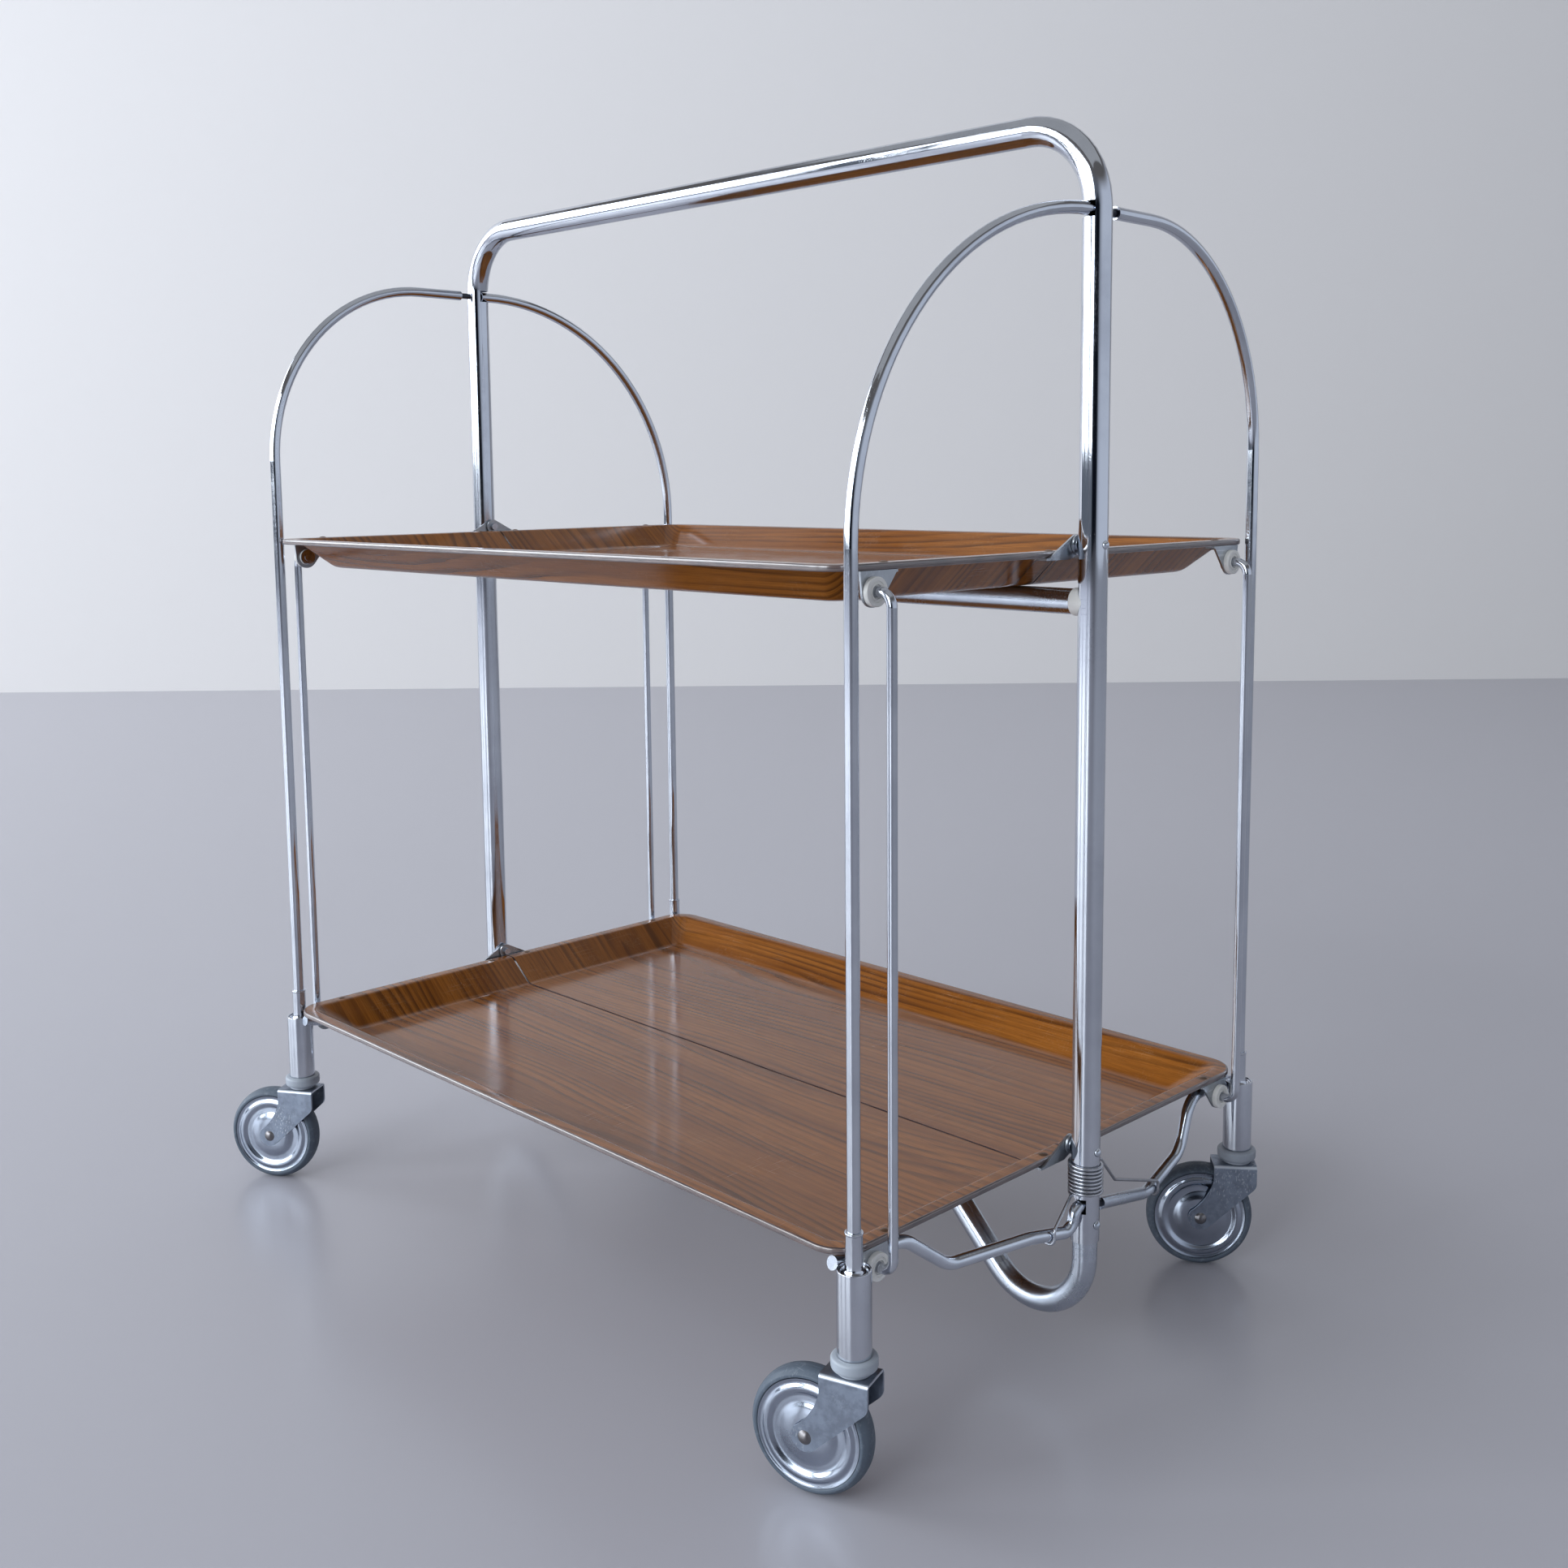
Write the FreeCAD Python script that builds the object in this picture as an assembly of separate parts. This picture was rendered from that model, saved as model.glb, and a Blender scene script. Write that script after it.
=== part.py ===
import FreeCAD, Part
import math
import os

Vector = FreeCAD.Vector
ORIGIN = Vector(0, 0, 0)
X_AXIS = Vector(1, 0, 0)
Y_AXIS = Vector(0, 1, 0)
Z_AXIS = Vector(0, 0, 1)

# A drop leaf tea trolley, unfolded. Millimetres and degrees. The floor is z = 0, X runs along the handle,
# and -Y is the near side. The frame is the same after a half turn about Z, so each piece is made once
# for the right end or the near side and turned for the other.

# Trays: two, each split along X into a near and a far half
tray_length = 616.0
tray_width = 416.0
tray_spacing = 380.0
tray_depth = 19.0
tray_board = 4.0
tray_corner = 22.0
rim_width = 10.0
rim_rounding = 1.4
wall_run = 24.0
floor_corner = 9.0
floor_fillet = 6.0
seam_gap = 1.5

# Hoop: the handle and the two uprights in one bent tube
tube = 18.0
tube_wall = 1.0
hoop_bend = 50.0
handle_rise = 252.2

# Base loop: a tube that slips into the uprights, dips at both ends and rises to carry the lower tray
base_wall = 1.0
base_slip = 0.05
base_bend = 40.0
base_clearance = 30.0
base_climb = 45.0
base_straight = 12.5
base_insert = 18.5
frame_screw = 3.6
frame_screw_head = 5.6
frame_screw_height = 11.8
carrier_gap = 0.5

# Cross tube under the upper tray
cross_tube = 16.0
cross_wall = 1.0
cross_collar = 20.0
cross_collar_length = 12.0

# Hinges of the tray halves on the uprights
pin_rise = 3.5
hinge_bolt = 4.0
hinge_play = 0.08
bolt_head = 5.4
bolt_head_height = 2.0
bolt_nut = 5.8
bolt_nut_length = 2.6
ear_thickness = 1.5
ear_eye = 6.0
ear_reach = 30.0
ear_root = 6.0
ear_rivet_y = 19.0
ear_gap = 0.3
washer_thickness = 1.0
washer = 9.0
washer_gap = 0.2

# Corner brackets, their bushes and the connecting rods
bracket_thickness = 1.5
bracket_setback = 0.5
bracket_inner_y = 48.0
bracket_outer_y = 18.0
bracket_eye = 8.7
bracket_rivet_y = 41.0
rod_inset = 28.0
rod_drop = 15.3
rod = 6.0
rod_bend = 8.0
rod_standoff = 2.0
rod_play = 0.08
bush_body = 12.0
bush_flange = 16.5
bush_flange_length = 3.5
bush_tail = 1.0
bracket_lip = 2.7
lock_washer = 12.0
lock_washer_thickness = 1.0
lock_washer_gap = 0.5
rod_tip = 0.5
rivet = 3.4
rivet_head = 6.0
rivet_head_height = 0.8
rivet_foot = 5.6
rivet_foot_height = 1.0
hole_play = 0.05

# Gates: on each side of each upright a leg, its arch and its rail
leg = 8.0
leg_wall = 1.0
leg_outset = 3.0
leg_inset = 7.0
arch_drop = 51.5
pinned_arch_bend = 140.0
slot_play = 0.65
slot_sweep = 75.0
slot_margin = 2.0
stub = 4.5
stub_exposed = 10.0
stub_depth = 12.0
stub_bend = 4.0
stub_hole_play = 0.1
socket_lead = 1.0
tube_tip = 3.0

# Rails: seen from above each is straight from its joint to the housing. How far out from the upright a
# bend lies is its reach, or, near the housing, how far back from the leg. Heights are from the lower slot.
rail = 8.0
rail_weld_gap = 0.05
rail_overrun = 3.0
rail_under_housing_top = 0.7
rail_bend_back = 15.0
slotted_rail_turn = 8.0
slotted_rail_neck = 14.5
slotted_neck_bend = 5.5
slotted_foot_bend = 8.0
slotted_rail_foot = 16.5
slotted_rail_drop = 13.5
slotted_rail_mid = 52.0
slotted_rail_mid_drop = 8.0
slotted_mid_bend = 40.0
slotted_rail_low = 84.0
slotted_rail_low_drop = 5.5
slotted_low_bend = 22.0
slotted_rail_shoulder = 50.0
slotted_rail_shoulder_lift = 20.0
slotted_rail_dip = 14.0
pinned_rail_start_drop = 8.0
pinned_rail_low = 86.0
pinned_rail_low_drop = 25.0
pinned_low_bend = 30.0
pinned_rail_kick = 64.0
pinned_rail_kick_drop = 13.5
pinned_rail_knee = 48.0
pinned_rail_knee_lift = 20.5
pinned_rail_dip = 13.2
rail_bend = 20.0

# Torsion spring round each upright, hooked to the two rails
spring_wire = 2.0
spring_gap = 0.2
spring_pitch = 2.4
spring_turns = 8.13
spring_start = -132.5
spring_arm_bend = 2.5
spring_hook_bend = 4.0
near_arm_straight = 5.0
near_hook = 37.0
far_arm_straight = 2.5
far_arm_turn = 20.0
far_arm_turn_lift = 21.5
far_arm_foot = 40.0
far_arm_foot_lift = 0.5
far_hook = 94.0

# Caster housings at the feet of the legs
housing = 20.0
housing_wall = 1.2
housing_length = 50.0
rim_over_housing = 8.3
plug_length = 19.0
plug_recess = 1.0
plug_dish = 1.5
plug_lip = 0.8
plug_play = 0.05
sleeve = 10.0
sleeve_flare = 14.0
sleeve_flare_height = 4.0
sleeve_rise = 21.5
collar = 27.0
collar_height = 7.0
collar_rounding = 2.4
collar_boss = 19.0
collar_boss_height = 3.0
collar_spigot = 18.0

# Casters
wheel = 75.0
wheel_trail = 26.0
stem = 8.0
stem_play = 0.05
stem_top_gap = 4.0
swivel_gap = 0.3
fork_width = 22.5
fork_plate = 1.8
fork_bend = 2.6
fork_back = 13.0
fork_front = 17.0
fork_back_straight = 16.0
fork_back_rounding = 7.0
fork_front_straight = 12.0
fork_scallop = 2.5
fork_headroom = 0.9
fork_axle_eye = 8.5
axle = 6.0
axle_head = 8.4
axle_head_height = 2.0
axle_play = 0.05
hub = 14.0
hub_gap = 0.3
disc = 64.0
disc_sheet = 1.2
disc_crown = 21.0
disc_crown_height = 8.6
disc_shoulder = 31.0
disc_shoulder_height = 7.6
disc_groove_inner = 37.0
disc_groove_outer = 46.0
disc_groove_height = 6.2
disc_ridge_inner = 50.0
disc_ridge_outer = 55.0
disc_ridge_height = 7.9
disc_seat = 60.0
disc_seat_height = 6.4
disc_rim_height = 7.3
tyre_width = 15.0
tyre_shoulder = 4.5
tyre_bead_depth = 3.4
tyre_seat_gap = 0.3
trail_angles = {"near_right": -161.8, "near_left": -147.1, "far_right": -141.0, "far_left": -150.0}

# How near an edge must lie to a height to count as level with it
level_tolerance = 1e-4

# Places that follow from the sizes, from the floor up
axle_height = wheel / 2
fork_top = wheel + fork_headroom + fork_plate
collar_bottom = fork_top + swivel_gap
housing_bottom = collar_bottom + collar_boss_height + collar_height
housing_top = housing_bottom + housing_length
lower_rim = housing_top + rim_over_housing
upper_rim = lower_rim + tray_spacing
handle_height = upper_rim + handle_rise

tray_end = tray_length / 2
tray_side = tray_width / 2
inner_ear = tray_end + ear_gap
outer_ear = inner_ear + ear_thickness + ear_gap
washer_face = outer_ear + ear_thickness + washer_gap
upright_x = washer_face + washer_thickness + washer_gap + tube / 2

base_tube = tube - 2 * tube_wall - 2 * base_slip
base_bend_height = base_clearance + base_tube / 2 + base_bend
upright_bottom = base_bend_height + base_straight
base_top = upright_bottom + base_insert

leg_x = tray_end + leg_outset
leg_y = tray_side - leg_inset
gate_angle = math.atan2(upright_x - leg_x, leg_y)
gate_reach = math.hypot(upright_x - leg_x, leg_y)
rail_x = leg_x - housing / 2 - rail / 2 - rail_weld_gap
rail_clear_y = leg_y - rail_bend_back
neck_bearing = math.radians(slotted_rail_turn - 90)
neck_x = upright_x + slotted_rail_neck * math.cos(neck_bearing)
neck_y = -slotted_rail_neck * math.sin(neck_bearing)
rail_splay = {-1: (neck_x - rail_x) / (rail_clear_y - neck_y), 1: (upright_x - rail_x) / rail_clear_y}
lower_slot = base_top + slot_margin + rail / 2
upper_slot = handle_height - arch_drop

bracket_face = tray_end - bracket_setback
bush_outer = bracket_face + bush_flange_length
rod_x = bush_outer + rod_standoff + rod_bend
rod_y = tray_side - rod_inset
lock_washer_outer = bracket_face - bracket_thickness - bush_tail - lock_washer_gap


def half_turned(shape):
    """The same shape at the other end of the trolley, half a turn round Z."""
    turned = shape.copy()
    turned.rotate(ORIGIN, Z_AXIS, 180)
    return turned


def rod_between(start, end, diameter):
    """A plain round bar from start to end."""
    span = end - start
    return Part.makeCylinder(diameter / 2, span.Length, start, span)


def ring_between(start, end, outer, inner):
    """A round tube from start to end, open at both ends."""
    return rod_between(start, end, outer).cut(rod_between(start, end, inner))


def dome(centre, direction, diameter, height):
    """A shallow domed head standing on centre and bulging along direction."""
    radius = diameter / 2
    ball = (radius ** 2 + height ** 2) / (2 * height)
    sphere = Part.makeSphere(ball, centre + direction * (height - ball))
    return sphere.common(rod_between(centre, centre + direction * height, diameter))


def bent_edges(points, bends):
    """Straight runs through the points, with each inner point rounded by its own bend radius."""
    edges = []
    start = points[0]
    for before, corner, after, bend in zip(points, points[1:], points[2:], bends):
        back = (before - corner).normalize()
        onward = (after - corner).normalize()
        half_turn = (math.pi - back.getAngle(onward)) / 2
        cut_back = bend * math.tan(half_turn)
        entry = corner + back * cut_back
        leave = corner + onward * cut_back
        middle = corner + (back + onward).normalize() * (bend / math.cos(half_turn) - bend)
        edges += [Part.LineSegment(start, entry).toShape(), Part.Arc(entry, middle, leave).toShape()]
        start = leave
    return edges + [Part.LineSegment(start, points[-1]).toShape()]


def bent_bar(points, bends, diameter):
    """A round bar along bent_edges."""
    wire = Part.Wire(bent_edges(points, bends))
    first = wire.Edges[0]
    section = Part.makeCircle(diameter / 2, points[0], first.tangentAt(first.FirstParameter))
    return wire.makePipe(Part.Face(Part.Wire(section)))


def bent_tube(points, bends, outer, wall):
    """A round tube along bent_edges, open at both ends."""
    return bent_bar(points, bends, outer).cut(bent_bar(points, bends, outer - 2 * wall))


def revolved(outline):
    """The closed (radius, height) outline turned round the Z axis."""
    points = [Vector(radius, 0, height) for radius, height in outline]
    face = Part.Face(Part.makePolygon(points + points[:1]))
    return face.revolve(ORIGIN, Z_AXIS, 360)


def tangent_point(centre, radius, outside, side):
    """Where the line from an outside point touches a circle in the YZ plane, on side +1 or -1."""
    to_outside = outside - centre
    angle = math.atan2(to_outside.z, to_outside.y) + side * math.acos(radius / to_outside.Length)
    return centre + Vector(0, math.cos(angle), math.sin(angle)) * radius


def eye_plate(face_x, thickness, centre, radius, first, last, hole):
    """A sheet plate in the YZ plane: an edge from first to last drawn in to a round eye with a hole.

    Going from first to last, the eye is on the left when looking along +X from behind the plate.
    """
    last_touch = tangent_point(centre, radius, last, 1)
    first_touch = tangent_point(centre, radius, first, -1)
    away = (centre - (first + last) * 0.5).normalize()
    outline = Part.Wire([
        Part.LineSegment(first, last).toShape(),
        Part.LineSegment(last, last_touch).toShape(),
        Part.Arc(last_touch, centre + away * radius, first_touch).toShape(),
        Part.LineSegment(first_touch, first).toShape(),
    ])
    outline.translate(X_AXIS * face_x)
    plate = Part.Face(outline).extrude(X_AXIS * thickness)
    hole_start = centre + X_AXIS * (face_x - thickness)
    return plate.cut(rod_between(hole_start, hole_start + X_AXIS * 3 * thickness, hole))


def rounded_rectangle(half_x, half_y, radius, height):
    """A closed wire: a rectangle round the Z axis with rounded corners."""
    corners = [(1, 1), (-1, 1), (-1, -1), (1, -1)]
    diagonal = radius * math.sqrt(0.5)
    edges = []
    for index, (sign_x, sign_y) in enumerate(corners):
        centre = Vector(sign_x * (half_x - radius), sign_y * (half_y - radius), height)
        along_x = centre + Vector(sign_x * radius, 0, 0)
        along_y = centre + Vector(0, sign_y * radius, 0)
        start, end = (along_x, along_y) if sign_x == sign_y else (along_y, along_x)
        middle = centre + Vector(sign_x * diagonal, sign_y * diagonal, 0)
        if index:
            edges.append(Part.LineSegment(previous_end, start).toShape())
        else:
            first_start = start
        edges.append(Part.Arc(start, middle, end).toShape())
        previous_end = end
    edges.append(Part.LineSegment(previous_end, first_start).toShape())
    return Part.Wire(edges)


def edges_at(shape, height):
    """The edges that lie wholly at one height."""
    return [edge for edge in shape.Edges
            if max(abs(edge.BoundBox.ZMin - height), abs(edge.BoundBox.ZMax - height)) < level_tolerance]


def flared_pan(floor_x, floor_y, floor_radius, floor_z, rim_x, rim_y, rim_radius, rim_z, fillet):
    """A solid pan that widens from a rounded floor outline to a rounded rim outline."""
    floor_outline = rounded_rectangle(floor_x, floor_y, floor_radius, floor_z)
    rim_outline = rounded_rectangle(rim_x, rim_y, rim_radius, rim_z)
    pan = Part.makeLoft([floor_outline, rim_outline], True, True)
    return pan.makeFillet(fillet, edges_at(pan, floor_z))


def whole_tray(rim_z):
    """A pressed laminate tray: floor, sloping walls and a flat rim with rounded edges."""
    slope = math.atan2(tray_depth, wall_run)
    shift_out = tray_board * math.sin(slope)
    shift_down = tray_board * math.cos(slope)
    inner_x = tray_end - rim_width
    inner_y = tray_side - rim_width
    inner_corner = tray_corner - rim_width
    floor_z = rim_z - tray_depth
    under_z = floor_z - tray_board
    run_per_mm = wall_run / tray_depth
    under_run = wall_run - shift_out + (tray_board - shift_down) * run_per_mm
    top_run = (tray_board - shift_down) * run_per_mm - shift_out
    outer = flared_pan(inner_x - under_run, inner_y - under_run, floor_corner, under_z,
                       inner_x - top_run, inner_y - top_run, inner_corner + shift_out, rim_z,
                       floor_fillet + tray_board / 2)
    hollow = flared_pan(inner_x - wall_run, inner_y - wall_run, floor_corner, floor_z,
                        inner_x, inner_y, inner_corner, rim_z, floor_fillet)
    rim_wire = rounded_rectangle(tray_end, tray_side, tray_corner, rim_z - tray_board)
    rim_plate = Part.Face(rim_wire).extrude(Z_AXIS * tray_board)
    rim_plate = rim_plate.makeFillet(rim_rounding, edges_at(rim_plate, rim_z)
                                     + edges_at(rim_plate, rim_z - tray_board))
    return outer.fuse(rim_plate).cut(hollow).removeSplitter()


def rivet_places(rim_z):
    """Centres on top of the rim of the near half's four rivets: one for each ear and corner bracket."""
    rivet_x = tray_end - rim_width / 2
    return [Vector(sign * rivet_x, -y, rim_z)
            for sign in (1, -1) for y in (ear_rivet_y, tray_side - bracket_rivet_y)]


def rivet_hole(top):
    """A hole through the rim and the sheet under it."""
    depth = tray_board + ear_thickness + bracket_thickness
    return rod_between(top + Z_AXIS, top - Z_AXIS * depth, rivet + 2 * hole_play)


def near_board(rim_z):
    """The near half of a tray, open along the seam."""
    below = rim_z - tray_depth - 2 * tray_board
    near_side = Part.makeBox(tray_length + rim_width, tray_width, tray_depth + 3 * tray_board,
                             Vector(-tray_end - rim_width / 2, -tray_width - seam_gap / 2, below))
    board = whole_tray(rim_z).common(near_side)
    for top in rivet_places(rim_z):
        board = board.cut(rivet_hole(top))
    return board


def lip_under_rim(plate_x, thickness, near_y, far_y, rim_z, lip):
    """The flat foot of a bracket, turned in under the rim from its upright plate."""
    inner_x = tray_end - rim_width + lip
    return Part.makeBox(plate_x + thickness - inner_x, far_y - near_y, thickness,
                        Vector(inner_x, near_y, rim_z - tray_board - thickness))


def hinge_ear(rim_z, ear_x):
    """A hinge ear of the near half at the right end: an eye above the rim and a foot under it."""
    centre = Vector(0, 0, rim_z + pin_rise)
    foot_z = rim_z - tray_board - ear_thickness
    inner_foot = Vector(0, -ear_root, foot_z)
    outer_foot = Vector(0, -ear_reach, foot_z)
    plate = eye_plate(ear_x, ear_thickness, centre, ear_eye, outer_foot, inner_foot,
                      hinge_bolt + 2 * hinge_play)
    foot = lip_under_rim(ear_x, ear_thickness, -ear_reach, -ear_root - ear_thickness, rim_z, bracket_lip)
    return plate.fuse(foot).removeSplitter()


def corner_bracket(rim_z):
    """The sheet bracket that holds a rod bush under the rim, at the near right corner."""
    centre = Vector(0, -rod_y, rim_z - rod_drop)
    inner_y = bracket_outer_y - tray_side
    outer_y = bracket_inner_y - tray_side
    plate = eye_plate(bracket_face - bracket_thickness, bracket_thickness, centre, bracket_eye,
                      Vector(0, outer_y, rim_z - tray_board), Vector(0, inner_y, rim_z - tray_board),
                      bush_body + 2 * hole_play)
    foot = lip_under_rim(bracket_face - bracket_thickness, bracket_thickness, inner_y, outer_y, rim_z,
                         bracket_lip)
    return plate.fuse(foot).removeSplitter()


def near_brackets(rim_z):
    """The two hinge ears and two corner brackets of a near half."""
    corner = corner_bracket(rim_z)
    pieces = [hinge_ear(rim_z, inner_ear), corner,
              hinge_ear(rim_z, outer_ear).mirror(ORIGIN, X_AXIS), corner.mirror(ORIGIN, X_AXIS)]
    for top in rivet_places(rim_z):
        pieces = [piece.cut(rivet_hole(top)) for piece in pieces]
    return Part.makeCompound(pieces)


def near_rivets(rim_z):
    """The four domed rivets through the rim of a near half."""
    rivets = []
    for top in rivet_places(rim_z):
        sheet = ear_thickness if abs(top.y) < ear_reach else bracket_thickness
        foot_top = top - Z_AXIS * (tray_board + sheet)
        foot_bottom = foot_top - Z_AXIS * rivet_foot_height
        shank = rod_between(foot_bottom, top, rivet)
        foot = rod_between(foot_bottom, foot_top, rivet_foot)
        head = dome(top, Z_AXIS, rivet_head, rivet_head_height)
        rivets.append(shank.fuse([foot, head]).removeSplitter())
    return Part.makeCompound(rivets)


def near_bushes(rim_z):
    """The two flanged bushes that carry a near half's connecting rods."""
    centre = Vector(0, -rod_y, rim_z - rod_drop)
    tail = centre + X_AXIS * (bracket_face - bracket_thickness - bush_tail)
    flange = centre + X_AXIS * bracket_face
    outside = centre + X_AXIS * bush_outer
    bush = rod_between(tail, flange, bush_body).fuse(rod_between(flange, outside, bush_flange))
    bush = bush.cut(rod_between(tail - X_AXIS, outside + X_AXIS, rod + 2 * rod_play)).removeSplitter()
    return Part.makeCompound([bush, bush.mirror(ORIGIN, X_AXIS)])


def near_right_rod():
    """A connecting rod with both ends bent into the bushes, and the two lock washers pressed on them."""
    tip = lock_washer_outer - lock_washer_thickness - rod_tip
    upper = upper_rim - rod_drop
    lower = lower_rim - rod_drop
    bar = bent_bar([Vector(tip, -rod_y, upper), Vector(rod_x, -rod_y, upper),
                    Vector(rod_x, -rod_y, lower), Vector(tip, -rod_y, lower)], [rod_bend] * 2, rod)
    washers = [ring_between(Vector(lock_washer_outer - lock_washer_thickness, -rod_y, height),
                            Vector(lock_washer_outer, -rod_y, height), lock_washer, rod)
               for height in (upper, lower)]
    return Part.makeCompound([bar] + washers)


def gate_point(side, reach, height):
    """A point of a right-hand gate: reach from the upright's axis, towards the leg on side +1 or -1."""
    return Vector(upright_x - reach * math.sin(gate_angle), side * reach * math.cos(gate_angle), height)


def slotted_leg():
    """The near right leg: up from the housing, over in one wide arch and in through the upright's slot."""
    foot = housing_top - plug_recess - plug_length
    return bent_tube([gate_point(-1, gate_reach, foot), gate_point(-1, gate_reach, upper_slot),
                      gate_point(-1, tube_tip, upper_slot)], [gate_reach - tube / 2], leg, leg_wall)


def pinned_leg():
    """The far right leg: up from the housing, a smaller arch and a level run that ends at its stub pin."""
    foot = housing_top - plug_recess - plug_length
    run_end = tube / 2 + stub_exposed
    return bent_tube([gate_point(1, gate_reach, foot), gate_point(1, gate_reach, upper_slot),
                      gate_point(1, run_end, upper_slot)], [pinned_arch_bend], leg, leg_wall)


def rail_point(side, reach, drop):
    """A point of a right-hand rail: reach out from the handle's plane and drop below the lower slot."""
    return Vector(rail_x + (rail_clear_y - reach) * rail_splay[side], side * reach, lower_slot - drop)


def rail_end_points(side, dip):
    """The last two points of a rail: clear under the tray's corner, then beside the housing's mouth."""
    return [Vector(rail_x, side * rail_clear_y, lower_rim - dip),
            Vector(rail_x, side * (leg_y + rail_overrun), housing_top - rail_under_housing_top)]


def slotted_rail_tip():
    """Where the near right rail ends, inside the upright."""
    return Vector(upright_x + tube_tip * math.cos(neck_bearing), tube_tip * math.sin(neck_bearing),
                  lower_slot)


def slotted_rail():
    """The near right rail: a goose neck down out of the slot, a long level run and a rise to the housing."""
    points = [slotted_rail_tip(), rail_point(-1, neck_y, 0),
              rail_point(-1, slotted_rail_foot, slotted_rail_drop),
              rail_point(-1, slotted_rail_mid, slotted_rail_mid_drop),
              rail_point(-1, leg_y - slotted_rail_low, slotted_rail_low_drop),
              rail_point(-1, leg_y - slotted_rail_shoulder, -slotted_rail_shoulder_lift)]
    points += rail_end_points(-1, slotted_rail_dip)
    return bent_bar(points, [slotted_neck_bend, slotted_foot_bend, slotted_mid_bend, slotted_low_bend,
                             rail_bend, rail_bend], rail)


def pinned_rail():
    """The far right rail: low by the upright, then cranked up under the tray's corner to the housing."""
    points = [rail_point(1, tube / 2 + stub_exposed, pinned_rail_start_drop),
              rail_point(1, pinned_rail_low, pinned_rail_low_drop),
              rail_point(1, leg_y - pinned_rail_kick, pinned_rail_kick_drop),
              rail_point(1, leg_y - pinned_rail_knee, -pinned_rail_knee_lift)]
    points += rail_end_points(1, pinned_rail_dip)
    bar = bent_bar(points, [pinned_low_bend] + [rail_bend] * 3, rail)
    return bar.cut(rod_between(*pinned_rail_socket(), stub + 2 * hole_play))


def pinned_rail_socket():
    """Start and end of the blind hole that the lower stub pin is driven into."""
    start = rail_point(1, tube / 2 + stub_exposed, pinned_rail_start_drop)
    onward = rail_point(1, pinned_rail_low, pinned_rail_low_drop) - start
    return start - onward.normalize() * socket_lead, start + onward * stub_depth


def gate_stubs():
    """The stub pins of the far right gate: a straight one above and a goose neck below."""
    joint = tube / 2 + stub_exposed
    upper = rod_between(gate_point(1, tube_tip, upper_slot), gate_point(1, joint, upper_slot), stub)
    plug_end = gate_point(1, joint + stub_depth, upper_slot)
    upper = upper.fuse(rod_between(gate_point(1, joint, upper_slot), plug_end,
                                   leg - 2 * leg_wall - 2 * hole_play)).removeSplitter()
    mouth, socket_end = pinned_rail_socket()
    neck_y = tube / 2 + stub_exposed / 2
    inward = (mouth - socket_end).normalize()
    elbow = mouth + inward * ((neck_y - mouth.y) / inward.y)
    lower = bent_bar([socket_end, elbow, Vector(elbow.x, neck_y, lower_slot),
                      Vector(upright_x, tube_tip, lower_slot)], [stub_bend] * 2, stub)
    return [upper, lower]


def slot_cutter(height, bearing):
    """The sector cut out of the right upright's wall so that a tube at a bearing can turn inwards."""
    half_width = math.degrees(math.asin((leg / 2 + slot_play) / (tube / 2)))
    opening = slot_sweep + 2 * half_width
    tall = leg + 2 * slot_play
    sector = Part.makeCylinder(tube / 2 + tube_wall, tall, Vector(upright_x, 0, height - tall / 2),
                               Z_AXIS, opening)
    sector.rotate(Vector(upright_x, 0, 0), Z_AXIS, bearing - slot_sweep - half_width)
    return sector


def hinge_axes():
    """Height of the hinge axis of each tray."""
    return [lower_rim + pin_rise, upper_rim + pin_rise]


def upright_cutters():
    """Everything cut out of the right upright: slots, stub holes, hinge bolt holes and the screw hole."""
    cutters = [slot_cutter(upper_slot, -90.0 - math.degrees(gate_angle)),
               slot_cutter(lower_slot, math.degrees(neck_bearing))]
    cutters.append(rod_between(gate_point(1, tube_tip, upper_slot), gate_point(1, tube, upper_slot),
                               stub + 2 * hole_play))
    cutters.append(rod_between(Vector(upright_x, tube_tip, lower_slot), rail_point(1, tube, 0),
                               stub + 2 * stub_hole_play))
    for height in hinge_axes():
        cutters.append(rod_between(Vector(upright_x - tube, 0, height), Vector(upright_x + tube, 0, height),
                                   hinge_bolt + 2 * hole_play))
    cutters.append(frame_screw_hole())
    return cutters


def frame_screw_hole():
    """The hole through the outer wall of the right upright and the base tube inside it."""
    height = upright_bottom + frame_screw_height
    return rod_between(Vector(upright_x, 0, height), Vector(upright_x + tube, 0, height),
                       frame_screw + 2 * hole_play)


def hoop():
    """Handle and uprights, with the holes of both ends."""
    shape = bent_tube([Vector(-upright_x, 0, upright_bottom), Vector(-upright_x, 0, handle_height),
                       Vector(upright_x, 0, handle_height), Vector(upright_x, 0, upright_bottom)],
                      [hoop_bend] * 2, tube, tube_wall)
    cutters = upright_cutters()
    return shape.cut(cutters + [half_turned(cutter) for cutter in cutters])


def base_loop():
    """The lower tube: down out of one upright, up under the lower tray, along it and down to the other."""
    climb = math.radians(base_climb)
    half_turn = (math.pi / 2 + climb) / 2
    dip = base_bend_height - base_bend * math.tan(half_turn)
    run_height = lower_rim - tray_depth - tray_board - carrier_gap - base_tube / 2
    run_x = upright_x - (run_height - dip) / math.tan(climb)
    right = [Vector(run_x, 0, run_height), Vector(upright_x, 0, dip), Vector(upright_x, 0, base_top)]
    left = [Vector(-point.x, 0, point.z) for point in reversed(right)]
    shape = bent_tube(left + right, [base_bend] * 4, base_tube, base_wall)
    hole = frame_screw_hole()
    return shape.cut([hole, half_turned(hole)])


def cross_tube_height():
    """Height of the cross tube's axis, just under the upper tray."""
    return upper_rim - tray_depth - tray_board - carrier_gap - cross_tube / 2


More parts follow.
